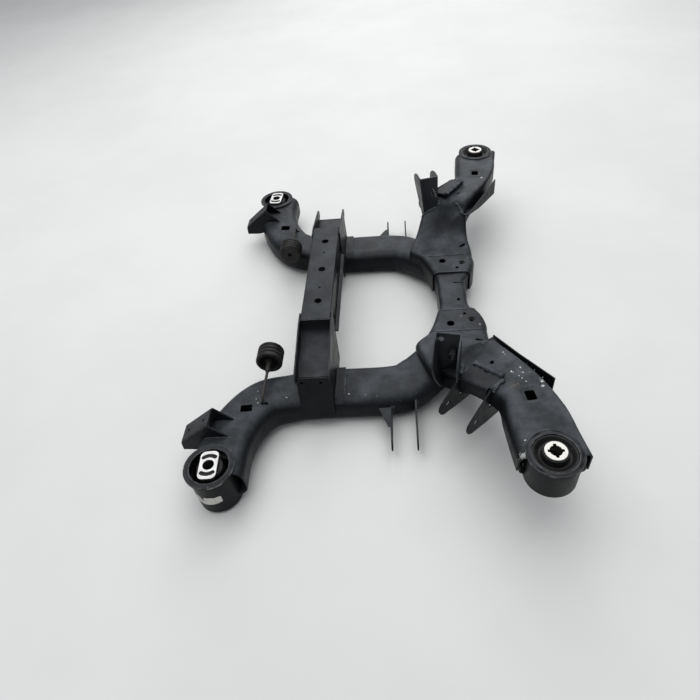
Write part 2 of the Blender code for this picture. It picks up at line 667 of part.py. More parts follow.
def add_saddle_floor(side, name, paint, half, end):
    """Pressed floor between a saddle's walls: it drops from the beam's end and runs out to the lip."""
    start = BEAM_HALF_LENGTH + CLEAR + SHEET
    drop = BEAM_TOP - SADDLE_LIP_Z
    route = smooth_path(((start, BEAM_TOP), (start + 0.003, BEAM_TOP - 0.40 * drop),
                         (start + 0.016, BEAM_TOP - 0.68 * drop), (start + 0.045, BEAM_TOP - 0.82 * drop),
                         (end, SADDLE_LIP_Z)), 2)
    left, right = BEAM_X - half, BEAM_X + half
    faces = [((left, near[0], near[1]), (right, near[0], near[1]), (right, far[0], far[1]),
              (left, far[0], far[1])) for near, far in zip(route[:-1], route[1:])]
    mesh = folded_mesh(faces, 0)
    bmesh.ops.recalc_face_normals(mesh, faces=mesh.faces)
    if sum(face.normal.z for face in mesh.faces) < 0:
        bmesh.ops.reverse_faces(mesh, faces=mesh.faces)
    item = add_object("beam_bracket_floor_" + name, mirrored(mesh, side), paint)
    thicken(item, SHEET)


def upper_point(across, out, height):
    """A point of the left upper link bracket: across its web from one corner, and out along a wall."""
    turn = radians(UPPER_TURN)
    return (UPPER_X + across * cos(turn) - out * sin(turn), UPPER_Y + across * sin(turn) + out * cos(turn),
            height)


def add_upper_bracket(side, name, paint, cutters):
    """Upright U for the upper link: a web with its holes and two walls with rounded tips."""
    top, foot, reach = UPPER_TOP, UPPER_FOOT, UPPER_REACH

    def wall(across, lean):
        outline = [(0.0, top), (reach - 0.042, top - 0.001), (reach - 0.020, top - 0.008),
                   (reach - 0.005, top - 0.020), (reach, top - 0.034), (reach - 0.007, top - 0.058),
                   (reach - 0.026, foot + 0.028), (reach - 0.044, foot), (0.0, foot)]
        slope = lean / (top - foot)
        return [upper_point(across + slope * (top - height), out, height) for out, height in outline]

    left, right = wall(0, 0.013), wall(UPPER_WIDTH, 0.002)
    faces = ((left[0], left[-1], right[-1], right[0]), left, right)
    holes = bmesh.new()
    axis = Vector(upper_point(0, 1, 0)) - Vector(upper_point(0, 0, 0))
    places = [(0.68 * UPPER_WIDTH, top - 0.0465)]
    if side < 0:
        places.append((0.23 * UPPER_WIDTH, top - 0.0155))
    for across, height in places:
        add_drum(holes, upper_point(across, 0, height), axis, UPPER_HOLE, 0.03)
    add_sheet("upper_link_bracket_" + name, side, faces, paint, cutters, holes)


def clevis_point(along, out, height):
    """A point of the left clevis from its bolt axis, its outward direction and a height."""
    turn = radians(CLEVIS_TURN)
    axis = (cos(turn), sin(turn))
    outward = (-sin(turn), cos(turn))
    return (CLEVIS_X + along * axis[0] + out * outward[0], CLEVIS_Y + along * axis[1] + out * outward[1],
            height)


def roof_height(along, out):
    """Height of the clevis roof's outer face at a place on it."""
    return ARM_TOP + CLEVIS_RISE + CLEVIS_LEAN * along - CLEVIS_DROP * (out + CLEVIS_MIDDLE)


def clevis_body_mesh(side):
    """The room that the clevis takes up, as one filled block grown on every side."""
    half = CLEVIS_HALF_GAP + SHEET + CLEAR
    low = CLEVIS_Z - 0.032
    back = -CLEVIS_BACK - CLEAR
    corners = ((-half, back), (half, back), (half, 0.0), (-half, 0.0))
    rings = [[clevis_point(along, out, low) for along, out in corners],
             [clevis_point(along, out, roof_height(along, out) + CLEAR) for along, out in corners]]
    return mirrored(loft_mesh(rings, closed=True, capped=True), side)


def add_clevis(side, name, paint, arm):
    """Bridge plate over the arm's edge with a rolled front lip and two ears that carry the bolt holes."""
    half = CLEVIS_HALF_GAP + SHEET
    low = CLEVIS_Z
    back = -CLEVIS_BACK

    def ear(along, front):
        tip = arc((0.004, low - 0.003), 0.021, 50, -100, 5)
        outline = [(back, roof_height(along, back)), (front, roof_height(along, front))] + tip
        outline += [(-0.032, low - 0.028), (back, low - 0.030)]
        return [clevis_point(along, out, height) for out, height in outline]

    def front_at(along):
        share = (along + half) / (2 * half)
        return -CLEVIS_FRONT_INNER - share * (CLEVIS_FRONT_OUTER - CLEVIS_FRONT_INNER)

    def front_point(along, forward, down):
        out = front_at(along)
        return clevis_point(along, out + forward, roof_height(along, out) - down)

    inner = CLEVIS_HALF_GAP - BEND
    roof = [front_point(along, 0, 0) for along in (-half, -inner, inner, half)]
    roof += [clevis_point(along, back, roof_height(along, back)) for along in (half, -half)]
    steps = [(CLEVIS_NOSE * sin(turn), CLEVIS_NOSE * (1 - cos(turn))) for turn in np.linspace(0, pi / 2, 4)]
    steps.append((CLEVIS_NOSE, CLEVIS_LIP))
    faces = [ear(-half, front_at(-half)), ear(half, front_at(half)), roof]
    for near, far in zip(steps[:-1], steps[1:]):
        faces.append([front_point(-inner, *near), front_point(inner, *near), front_point(inner, *far),
                      front_point(-inner, *far)])
    item = add_object("arm_clevis_" + name, mirrored(folded_mesh(faces), side), paint)
    thicken(item, SHEET)
    holes = bmesh.new()
    axis = Vector(clevis_point(1, 0, 0)) - Vector(clevis_point(0, 0, 0))
    add_drum(holes, clevis_point(0, 0, CLEVIS_Z), axis, CLEVIS_HOLE, 0.10)
    cut(item, add_cutter("clevis_holes_" + name, mirrored(holes, side)))
    cut(item, arm)


def add_front_bracket(side, name, paint, tube):
    """U channel ahead of the slotted bush: a sloping web with two slots and two triangular flanges."""
    inner, outer = FRONT_INNER_Y, FRONT_INNER_Y + FRONT_WIDTH
    apex = (FRONT_APEX_X, FRONT_APEX_Z)
    low = (apex[0] - 0.066, apex[1] - 0.051)
    outline = [apex, low, (low[0] - 0.001, low[1] - 0.022), (low[0] + 0.030, low[1] - 0.024),
               (apex[0] + 0.045, apex[1] - 0.062), (apex[0] + 0.045, apex[1] - 0.048)]
    near = [(x, inner, z) for x, z in outline]
    far = [(x, outer, z) for x, z in outline]
    web = [near[0], near[1], far[1], far[0]]
    faces = (near, far, web)
    slope = Vector((apex[0] - low[0], 0, apex[1] - low[1])).normalized()
    middle = (inner + outer) / 2
    holes = bmesh.new()
    for share in (0.22, 0.80):
        place = Vector((apex[0] + share * (low[0] - apex[0]), middle, apex[1] + share * (low[1] - apex[1])))
        add_drum(holes, place, (-slope.z, 0, slope.x), 0.0035, 0.03)
    return add_sheet("front_link_bracket_" + name, side, faces, paint, [tube], holes, bend=0.005)


def ear_outline():
    """(y, z) outline of a lower link ear, from the side tube out to the round end."""
    root = TUBE_RUN_Y + TUBE_HALF - 0.016
    hole_y = TUBE_RUN_Y + TUBE_HALF + EAR_REACH
    end = arc((hole_y, EAR_HOLE_Z), EAR_RADIUS, 70, -95, 5)
    shoulder = EAR_HOLE_Z + 1.15 * EAR_RADIUS
    neck = (hole_y - 0.030, EAR_HOLE_Z + 0.80 * EAR_RADIUS)
    return [(root, shoulder + 0.002), (root + 0.018, shoulder), neck] + end + [(root + 0.050, 0.008),
                                                                               (root, 0.010)]


def add_ears(side, name, paint, tube):
    """Two ears below each tube for the lower link, the first stiffened by a folded triangle."""
    for index, part in enumerate(("flanged", "plain")):
        x = EAR_X + index * EAR_SPACING
        outline = [(x, y, z) for y, z in ear_outline()]
        faces = [outline]
        if index == 0:
            wide, narrow = outline[1:3]
            faces.append([wide, (x - EAR_GUSSET, wide[1] + 0.002, wide[2]),
                          (x - EAR_GUSSET / 3, narrow[1] - 0.002, narrow[2]), narrow])
        holes = bmesh.new()
        add_drum(holes, (x, TUBE_RUN_Y + TUBE_HALF + EAR_REACH, EAR_HOLE_Z), (1, 0, 0), EAR_HOLE, 0.03)
        add_sheet("lower_link_ear_%s_%s" % (part, name), side, faces, paint, [tube], holes, 0.0035, 0.006)


def add_guard(side, name, paint, arm):
    """Plate that stands off the arm's outer edge, with a row of small slots and a flange to the arm."""
    start, end = (0.260, 0.2245), (0.347, 0.362)
    low, top = ARM_BOTTOM + 0.006, ARM_TOP - 0.002
    run = Vector((end[0] - start[0], end[1] - start[1], 0))
    inward = Vector((-run.y, run.x, 0)).normalized() * 0.034
    edge = [(Vector((*start, 0)) + share * run, low + rise, top - drop)
            for share, rise, drop in ((0.0, 0.021, 0.018), (0.45, 0.006, 0.012), (1.0, 0.0, 0.0))]
    up = Vector((0, 0, 1))
    faces = []
    for (near, near_low, near_top), (far, far_low, far_top) in zip(edge[:-1], edge[1:]):
        faces.append((near + up * near_top, near + up * near_low, far + up * far_low, far + up * far_top))
        faces.append((near + up * near_low, near + up * near_low + inward, far + up * far_low + inward,
                      far + up * far_low))
    holes = bmesh.new()
    for share in (0.45, 0.58, 0.71, 0.84):
        place = Vector((*start, 0)) + share * run
        add_box(holes, (place.x, place.y, (low + top) / 2), (0.020, 0.0025, 0.010), 0)
    return add_sheet("guard_plate_" + name, side, faces, paint, [arm], holes, 0.002, 0.003)


def add_can(name, side, paint, bush_x, bush_y, low, seat, flange_radius, lip_radius, flange_rise):
    """Pressed steel can of a bush: its flange sits on the metal round it and turns in over the rubber."""
    seat_low = seat + CLEAR
    top = seat + flange_rise
    inner = CAN_RADIUS - CAN_WALL
    profile = [(inner, low), (CAN_RADIUS - 0.001, low), (CAN_RADIUS, low + 0.002), (CAN_RADIUS, seat_low),
               (flange_radius, seat_low), (flange_radius, top - 0.001), (flange_radius - 0.001, top),
               (lip_radius, top), (lip_radius, top - CAN_WALL), (inner, top - CAN_WALL)]
    item = add_object(name, turned_mesh(profile), paint)
    item.location = (bush_x, side * bush_y, 0)
    return item


def add_slotted_bush(side, name, paint, rubber, metal):
    """Front bush: can, rubber with two kidney-shaped voids and a slotted metal core."""
    seat = TUBE_END_TOP
    add_can("slotted_bush_can_" + name, side, paint, SLOTTED_BUSH_X, SLOTTED_BUSH_Y, SLOTTED_CAN_BOTTOM, seat,
            SLOTTED_FLANGE_RADIUS, SLOTTED_LIP_RADIUS, SLOTTED_FLANGE_RISE)
    fit = CAN_RADIUS - CAN_WALL - CLEAR
    core_low = seat + SLOTTED_FLANGE_RISE + 0.004 - CORE_THICKNESS
    top = core_low - CLEAR
    bottom = SLOTTED_CAN_BOTTOM + 0.012
    bore = CORE_RING + CLEAR
    profile = [(bore, bottom), (fit - 0.004, bottom), (fit, bottom + 0.004), (fit, top - RUBBER_DROP),
               (bore + 0.013, top - RUBBER_DROP), (bore + 0.010, top), (bore, top)]
    body = add_object("slotted_bush_rubber_" + name, turned_mesh(profile), rubber)
    body.location = (SLOTTED_BUSH_X, side * SLOTTED_BUSH_Y, 0)
    voids = bmesh.new()
    middle = (bore + fit) / 2 + 0.003
    for start in (-48, 132):
        ring = [(SLOTTED_BUSH_X + x, side * SLOTTED_BUSH_Y + y)
                for x, y in arc((0, 0), middle + 0.006, start, start + 96, 5)
                + arc((0, 0), middle - 0.005, start + 96, start, 5)]
        push_outline(voids, [(x, y, bottom - 0.01) for x, y in ring], top - bottom + 0.02)
    cut(body, add_cutter("bush_voids_" + name, voids))
    add_core(side, name, metal, core_low, bottom - 0.006)


def rounded_outline(width, length, radius, steps=4):
    """Outline of a rectangle with rounded corners, as (x, y) points."""
    points = []
    for x, y, start in ((1, 1, 0), (-1, 1, 90), (-1, -1, 180), (1, -1, 270)):
        centre = (x * (width / 2 - radius), y * (length / 2 - radius))
        points += arc(centre, radius, start, start + 90, steps)
    return points


def add_core(side, name, metal, low, foot):
    """Slotted metal core: a plate with a raised rim, two curved slots and a bore in its own ring."""
    mesh = bmesh.new()
    high = low + CORE_THICKNESS
    add_drum(mesh, (0, 0, (foot + low) / 2 + 0.002), (0, 0, 1), CORE_RING, low - foot + 0.004, 20)
    core = add_object("slotted_bush_core_" + name, mesh, metal)
    plate = bmesh.new()
    push_outline(plate, [(x, y, low) for x, y in rounded_outline(CORE_WIDTH, CORE_LENGTH, 0.010, 3)],
                 high - low)
    plate_item = add_cutter("core_plate_" + name, plate)
    union = core.modifiers.new("plate on its ring", "BOOLEAN")
    union.operation = "UNION"
    union.solver = "EXACT"
    union.object = plate_item
    slots = bmesh.new()
    add_drum(slots, (0, 0, (foot + high) / 2), (0, 0, 1), CORE_BORE, 3 * (high - foot), 20)
    slot_outer = CORE_SLOT_REACH + CORE_SLOT / 2
    for start in (57, 237):
        ring = (arc((0, 0), slot_outer, start, start + 66, 6)
                + arc((0, 0), slot_outer - CORE_SLOT, start + 66, start, 6))
        push_outline(slots, [(x, y, low + 0.004) for x, y in ring], CORE_THICKNESS)
    cutter = add_cutter("core_slots_" + name, slots)
    cut(core, cutter)
    for item in (core, plate_item, cutter):
        item.location = (SLOTTED_BUSH_X, side * SLOTTED_BUSH_Y, 0)
        item.rotation_euler = (0, 0, -side * radians(CORE_TURN))


def add_round_bush(side, name, paint, rubber, metal):
    """Rear bush: can with a crimped flange, dished rubber and a sleeve with a four-notched bore."""
    low = ARM_TOP - ROUND_CAN_DEPTH
    add_can("round_bush_can_" + name, side, paint, ROUND_BUSH_X, ROUND_BUSH_Y, low, ARM_TOP,
            ROUND_FLANGE_RADIUS, ROUND_LIP_RADIUS, ROUND_FLANGE_RISE)
    fit = CAN_RADIUS - CAN_WALL - CLEAR
    bore = SLEEVE_RADIUS + CLEAR
    rim = ARM_TOP + ROUND_FLANGE_RISE - 0.0015
    under_lip = ARM_TOP + ROUND_FLANGE_RISE - CAN_WALL - CLEAR
    open_radius = ROUND_LIP_RADIUS - CLEAR
    collar = ARM_TOP + SLEEVE_RISE - 0.0015
    profile = [(bore, low + 0.008), (fit - 0.006, low + 0.008), (fit, low + 0.014), (fit, under_lip),
               (open_radius, under_lip), (open_radius, rim), (open_radius - 0.003, rim),
               (open_radius - 0.009, rim - 0.008), (bore + 0.004, rim - 0.008), (bore + 0.003, collar),
               (bore, collar)]
    body = add_object("round_bush_rubber_" + name, turned_mesh(profile), rubber)
    body.location = (ROUND_BUSH_X, side * ROUND_BUSH_Y, 0)
    top = ARM_TOP + SLEEVE_RISE
    sleeve_low = low - 0.004
    profile = [(SLEEVE_BORE, sleeve_low), (SLEEVE_RADIUS, sleeve_low), (SLEEVE_RADIUS, top - 0.001),
               (SLEEVE_RADIUS - 0.001, top), (SLEEVE_BORE, top)]
    sleeve = add_object("round_bush_sleeve_" + name, turned_mesh(profile, 20), metal)
    notches = bmesh.new()
    for turn in (0, 90):
        add_box(notches, (0, 0, top), (2 * (SLEEVE_BORE + NOTCH_DEPTH), NOTCH_WIDTH, 0.024), turn)
    cutter = add_cutter("sleeve_notches_" + name, notches)
    cut(sleeve, cutter)
    for item in (sleeve, cutter):
        item.location = (ROUND_BUSH_X, side * ROUND_BUSH_Y, 0)


def add_hanger(side, name, steel, rubber):
    """Exhaust hanger: a ribbed rubber drum on a stud, and the rod that carries it from the tube."""
    half = HANGER_LENGTH / 2
    deep = HANGER_RADIUS - 0.0025
    hollow = HANGER_RADIUS - 0.007
    bore = HANGER_STUD + CLEAR
    profile = [(bore, -half), (HANGER_RADIUS - 0.003, -half), (HANGER_RADIUS, -half + 0.003)]
    for rib in range(HANGER_GROOVES):
        start = -half + HANGER_LENGTH * (rib + 0.7) / (HANGER_GROOVES + 1)
        profile += [(HANGER_RADIUS, start), (deep, start + 0.002), (HANGER_RADIUS, start + 0.004)]
    profile += [(HANGER_RADIUS, half - 0.002), (HANGER_RADIUS - 0.002, half), (hollow, half),
                (hollow - 0.002, half - 0.011), (bore + 0.005, half - 0.011), (bore + 0.003, half - 0.002),
                (bore, half - 0.002)]
    drum = add_object("hanger_rubber_" + name, turned_mesh(profile, 18), rubber)
    drum.location = (HANGER_X, side * HANGER_Y, HANGER_Z)
    drum.rotation_euler = (-side * pi / 2, 0, 0)
    inner, shoulder = HANGER_Y - half + 0.006, HANGER_Y + half + 0.025
    foot = HANGER_FOOT_Y
    route = [(inner, HANGER_Z, HANGER_STUD), (shoulder, HANGER_Z, HANGER_STUD),
             (shoulder + 0.001, HANGER_Z, HANGER_ROD), (foot - 0.040, HANGER_Z, HANGER_ROD)]
    route += [(y, z, HANGER_ROD) for y, z in arc((foot - 0.012, HANGER_Z - 0.012), 0.012, 90, 0, 6)]
    route.append((foot, TUBE_TOP + 0.012, HANGER_ROD))
    data = bpy.data.curves.new("hanger_rod_" + name, "CURVE")
    data.dimensions = "3D"
    data.bevel_depth = HANGER_ROD
    data.bevel_resolution = 2
    data.use_fill_caps = True
    spline = data.splines.new("POLY")
    spline.points.add(len(route) - 1)
    for point, (y, z, radius) in zip(spline.points, route):
        point.co = (HANGER_X, side * y, z, 1)
        point.radius = radius / HANGER_ROD
    rod = bpy.data.objects.new("hanger_rod_" + name, data)
    bpy.context.scene.collection.objects.link(rod)
    data.materials.append(steel)


def add_weld_nut(side, name, steel):
    """Hexagon nut welded under the crossmember's top, behind its clearance hole."""
    high = CROSS_TOP - SHEET - CLEAR
    nut_y = side * (CROSS_HALF_LENGTH - NUT_FROM_SEAM)
    mesh = bmesh.new()
    add_drum(mesh, (NUT_X, nut_y, high - NUT_HEIGHT / 2), (0, 0, 1), NUT_RADIUS, NUT_HEIGHT, 6)
    nut = add_object("weld_nut_" + name, mesh, steel)
    bore = bmesh.new()
    add_drum(bore, (NUT_X, nut_y, high - NUT_HEIGHT / 2), (0, 0, 1), NUT_BORE, 3 * NUT_HEIGHT)
    cut(nut, add_cutter("nut_bore_" + name, bore))


def build():
    """Build every piece of the subframe."""
    remove_old_objects()
    paint = make_material("black_coating", (0.045, 0.050, 0.058), 0.45, 0.2)
    rubber = make_material("rubber", (0.020, 0.020, 0.022), 0.8, 0.0)
    metal = make_material("bare_alloy", (0.75, 0.75, 0.74), 0.4, 1.0)
    steel = make_material("rusty_steel", (0.22, 0.17, 0.13), 0.6, 0.7)
    tubes = {side: add_cutter("tube_body_" + name, tube_mesh(side, CLEAR, True)) for side, name in SIDES}
    arms = {side: add_cutter("arm_body_" + name, arm_body_mesh(side)) for side, name in SIDES}
    add_cross(paint, tubes.values())
    add_beam(paint, tubes.values())
    for side, name in SIDES:
        tube, arm = tubes[side], arms[side]
        add_tube(side, name, paint)
        add_cross_end(side, name, paint, tube)
        add_arm(side, name, paint, tube)
        add_beam_bracket(side, name, paint, tube)
        clevis = add_cutter("clevis_body_" + name, clevis_body_mesh(side))
        add_upper_bracket(side, name, paint, (arm, tube, clevis))
        add_clevis(side, name, paint, arm)
        add_front_bracket(side, name, paint, tube)
        add_ears(side, name, paint, tube)
        add_guard(side, name, paint, arm)
        add_slotted_bush(side, name, paint, rubber, metal)
        add_round_bush(side, name, paint, rubber, metal)
        add_hanger(side, name, steel, rubber)
        add_weld_nut(side, name, steel)


build()
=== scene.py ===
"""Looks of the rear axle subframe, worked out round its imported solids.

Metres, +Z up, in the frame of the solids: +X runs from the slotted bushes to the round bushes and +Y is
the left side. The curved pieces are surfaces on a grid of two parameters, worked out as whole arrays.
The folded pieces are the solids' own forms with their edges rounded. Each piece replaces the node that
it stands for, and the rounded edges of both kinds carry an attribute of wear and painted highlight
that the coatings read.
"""

import bmesh
import bpy
import numpy as np
from mathutils import Matrix, Vector
from mathutils.bvhtree import BVHTree


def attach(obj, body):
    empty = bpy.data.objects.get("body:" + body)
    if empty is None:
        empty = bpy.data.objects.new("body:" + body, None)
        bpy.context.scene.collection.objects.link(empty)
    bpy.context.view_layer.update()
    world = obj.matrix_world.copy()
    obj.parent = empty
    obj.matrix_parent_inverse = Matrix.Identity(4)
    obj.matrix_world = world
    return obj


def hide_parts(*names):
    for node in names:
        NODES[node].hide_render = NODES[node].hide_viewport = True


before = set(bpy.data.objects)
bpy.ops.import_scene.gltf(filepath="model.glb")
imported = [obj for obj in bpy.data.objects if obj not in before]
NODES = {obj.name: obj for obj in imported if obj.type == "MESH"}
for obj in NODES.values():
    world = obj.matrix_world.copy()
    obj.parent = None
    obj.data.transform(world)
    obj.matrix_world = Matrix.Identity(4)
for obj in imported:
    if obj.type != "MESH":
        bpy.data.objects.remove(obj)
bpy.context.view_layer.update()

SIDES = ((1, "left"), (-1, "right"))
SHEET = 0.003
CLEAR = 0.0003

# Places and sizes, most of them those of the solids
SLOTTED_BUSH = (-0.2895, 0.478)
ROUND_BUSH = (0.311, 0.523)
CAN_RADIUS = 0.0435
CAN_WALL = 0.0026
SLOTTED_SEAT = 0.095
SLOTTED_LOW = 0.006
SLOTTED_FLANGE = (0.0488, 0.0373, 0.0042)
ROUND_SEAT = 0.178
ROUND_LOW = 0.118
ROUND_FLANGE = (0.0465, 0.0362, 0.003)
CORE_FOOT = 0.012
CORE_LOW = 0.0952
CORE_HIGH = 0.1032
CORE_RING = 0.0145
CORE_BORE = 0.011
CORE_TURN = 3.4
SLEEVE_RADIUS = 0.018
SLEEVE_BORE = 0.0101
NOTCH_REACH = 0.0141
NOTCH_HALF = 0.0027
TUBE_WALL = 0.0032
TUBE_CORNER = 0.026
CROSS_CORNER = 0.016
CROSS_TOP = 0.095
CROSS_BOTTOM = 0.036
CROSS_HALF_LENGTH = 0.141
CROSS_END_START = 0.070
CROSS_LAP = 0.014
NEST = 0.0009
ARM_SEAM_RISE = 0.011
HANGER = (-0.213, 0.200, 0.098)
HANGER_RADIUS = 0.029
HANGER_HALF = 0.020
HANGER_ROD = 0.003
HANGER_STUD = 0.005
HANGER_FOOT = (0.3185, 0.077)
HANGER_BEND = 0.012
BEAM_X = -0.1045
BEAM_HOLE_X = BEAM_X + 0.002
BEAM_TOP = 0.178
SADDLE_WALL = 0.0358
SADDLE_FOOT = 0.019
UPPER = (0.139, 0.285, 12.1)  # corner x and y, and turn in degrees
UPPER_WIDTH = 0.0495
CLEVIS = (0.181, 0.385, 45.9)  # middle x and y, and turn in degrees
CLEVIS_HALF = 0.0345
CLEVIS_BACK = 0.072
EARS_X = (0.050, 0.101)
PAN_LIP = 0.020

# Holes: a middle, a size and a turn in degrees, or x, y and radius, or for the beam's ones y and radius
BEAM_HOLES = ((-0.1135, 0.0084), (0.0, 0.0084), (0.1135, 0.0084), (-0.067, 0.0027), (0.067, 0.0027))
TUBE_SQUARE = ((-0.2465, 0.333), (0.024, 0.019), -6)
HANGER_SLOT = ((-0.212, 0.3185), (0.015, 0.0072), 0)
ARM_SQUARE = ((0.296, 0.401), (0.018, 0.022), -8)
ARM_GAP = ((0.2415, 0.1755), (0.017, 0.0062), 24)
ARM_HOLE = (0.243, 0.312, 0.004)
CROSS_HOLE = (0.212, -0.031, 0.0045)
CROSS_SLOT = ((0.219, 0.032), (0.028, 0.003), 0)
END_HOLES = ((0.186, 0.117, 0.0085), (0.2335, 0.106, 0.0075), (0.220, 0.0865, 0.004))
DRAIN = 0.008
HOLE_CORNER = 0.003
COLLAR_WALL = 0.0014
COLLAR_LOW = -0.0160
COLLAR_HIGH = -0.0029
LINK_HOLE_SHARE = 0.68
LINK_HOLE_HEIGHT = 0.1855

TUBE_ROWS = (
    (-0.279, 0.492, 0.0525, 0.020, 0.095),
    (-0.279, 0.420, 0.0525, 0.018, 0.093),
    (-0.2615, 0.350, 0.052, 0.012, 0.088),
    (-0.222, 0.291, 0.052, 0.005, 0.080),
    (-0.165, 0.268, 0.052, 0.0, 0.070),
    (-0.100, 0.257, 0.056, 0.0, 0.065),
    (0.055, 0.253, 0.055, 0.0, 0.066),
    (0.108, 0.228, 0.053, 0.006, 0.070),
    (0.146, 0.191, 0.050, 0.012, 0.075),
    (0.176, 0.159, 0.048, 0.018, 0.077),
)
ARM_ROWS = (
    (0.1985, 0.1413, 0.0655, 0.036, 0.095, 0.095, 0),
    (0.1850, 0.170, 0.0790, 0.036, 0.095, 0.098, 0),
    (0.1860, 0.205, 0.0720, 0.046, 0.097, 0.113, 0.2),
    (0.1930, 0.243, 0.0640, 0.068, 0.107, 0.148, 0.6),
    (0.2080, 0.282, 0.0590, 0.095, 0.146, 0.174, 1),
    (0.2441, 0.3257, 0.0515, 0.121, 0.167, 0.178, 1),
    (0.2851, 0.3804, 0.0455, 0.125, 0.178, 0.178, 1),
    (0.2995, 0.4355, 0.0530, 0.125, 0.178, 0.178, 1),
    (0.3060, 0.485, 0.0555, 0.125, 0.178, 0.178, 0.5),
    (0.3120, 0.526, 0.0575, 0.125, 0.178, 0.178, 0),
)
CROSS_ROWS = (
    (0.1985, -0.141, 0.0655),
    (0.2050, -0.115, 0.0605),
    (0.2065, -0.082, 0.0510),
    (0.2005, -0.045, 0.0375),
    (0.2005, 0.0, 0.0375),
    (0.2005, 0.045, 0.0375),
    (0.2065, 0.082, 0.0510),
    (0.2050, 0.115, 0.0605),
    (0.1985, 0.141, 0.0655),
)


def spline_rows(rows, count):
    """Catmull-Rom curve: each span mixes its four neighbouring rows by cubic weights of the share."""
    rows = np.array(rows, float)
    ends = np.vstack([2 * rows[0] - rows[1], rows, 2 * rows[-1] - rows[-2]])
    place = np.linspace(0, len(rows) - 1, count)
    span = np.minimum(place.astype(int), len(rows) - 2)
    share = (place - span)[:, None]
    before, start, end, after = (ends[span + shift] for shift in range(4))
    return 0.5 * (2 * start + (end - before) * share
                  + (2 * before - 5 * start + 4 * end - after) * share ** 2
                  + (3 * start - before - 3 * end + after) * share ** 3)


def sideways(path, turning):
    """Unit vectors in plan to the path's right: along +X where turning is 0, square to the path where 1."""
    run = np.gradient(path[:, :2], axis=0)
    run /= np.linalg.norm(run, axis=1)[:, None]
    square = np.stack([run[:, 1], -run[:, 0]], axis=1)
    across = np.array([1.0, 0.0]) + (square - [1.0, 0.0]) * np.reshape(turning, (-1, 1))
    return across / np.linalg.norm(across, axis=1)[:, None]


def carry(path, across, height, turning):
    """Places (across, height) arrays at each path point: plan place plus across times the sideways vector."""
    side = sideways(path, turning)
    plan = path[:, None, :2] + across[:, :, None] * side[:, None, :]
    return np.concatenate([plan, height[:, :, None]], axis=2)


def smooth_step(value):
    """Zero below 0, one above 1, and 3v^2 - 2v^3 between."""
    value = np.clip(value, 0, 1)
    return value * value * (3 - 2 * value)


def hill(distance, width):
    """A bell: one at distance 0 that falls as exp of minus the squared distance over the width."""
    return np.exp(-(distance / width) ** 2)


def ring_profile(half, low, high, radius, steps=8):
    """Closed ring of a rectangle with round corners: a corner's centre plus the radius times cos and sin."""
    radius = np.minimum(np.minimum(radius, 0.48 * (high - low)), 0.98 * half)[:, None]
    turn = np.concatenate([np.linspace(start, start + 90, steps + 1) for start in (0, 90, 180, 270)])
    right = np.repeat([1, -1, -1, 1], steps + 1)
    top = np.repeat([1, 1, 0, 0], steps + 1)
    across = right * (half[:, None] - radius) + radius * np.cos(np.radians(turn))
    middle = np.where(top, high[:, None] - radius, low[:, None] + radius)
    return across, middle + radius * np.sin(np.radians(turn))


def cap_profile(half, low, left, right, radius, other=None, steps=8, flat=22, wall=6):
    """Open ring over a shell: wall, quarter arc, a top that eases from left to right height, arc, wall."""
    half, low, left, right = (item[:, None] for item in (half, low, left, right))
    radius = np.reshape(radius, (-1, 1))
    other = radius if other is None else np.reshape(other, (-1, 1))
    arc = np.linspace(0, np.pi / 2, steps + 1)
    up = np.linspace(0, 1, wall, endpoint=False)
    across_share = np.linspace(0, 1, flat + 1)[1:-1]
    across = np.hstack([-half + 0 * up, radius - half - radius * np.cos(arc),
                        radius - half + across_share * (2 * half - radius - other),
                        half - other + other * np.sin(arc), half + 0 * up])
    height = np.hstack([low + (left - radius - low) * up, left - radius + radius * np.sin(arc),
                        left + (right - left) * smooth_step(1.25 * across_share - 0.2),
                        right - other + other * np.cos(arc), low + (right - other - low) * up[::-1]])
    return across, height


def pan_profile(half, low, lip, radius, steps=6, flat=10):
    """Open ring under a shell: lip, quarter arc, flat bottom, arc, lip, from right to left."""
    arc = np.linspace(0, np.pi / 2, steps + 1)
    half, low = half[:, None], low[:, None]
    share = np.linspace(0, 1, flat + 1)[1:-1]
    across = np.hstack([half, half - radius + radius * np.cos(arc), (1 - 2 * share) * (half - radius),
                        radius - half - radius * np.sin(arc), -half])
    height = np.hstack([low + lip, low + radius - radius * np.sin(arc), low + 0 * share,
                        low + radius - radius * np.cos(arc), low + lip])
    return across, height


def grid_object(name, points, around=False, ends=False, loop=False, side=1):
    """A mesh over a grid of points, one quad per cell; the faces look away from the grid's middle line."""
    points = np.array(points, float)
    if side < 0:
        points = points * [1, -1, 1]
    rows, columns = points.shape[:2]
    index = np.arange(rows * columns).reshape(rows, columns)
    cells = slice(None) if around else slice(0, columns - 1)
    bands = slice(None) if loop else slice(0, rows - 1)
    corners = [np.roll(index, shift, axis=(0, 1))[bands, cells]
               for shift in ((0, 0), (0, -1), (-1, -1), (-1, 0))]
    faces = np.stack(corners, axis=2).reshape(-1, 4).tolist()
    if ends:
        faces += [index[0].tolist()[::-1], index[-1].tolist()]
    data = bpy.data.meshes.new(name)
    data.from_pydata(points.reshape(-1, 3).tolist(), [], faces)
    turn_outward(data, np.repeat(points.mean(axis=1)[:, None, :], columns, axis=1).reshape(-1, 3))
    return in_scene(name, data)


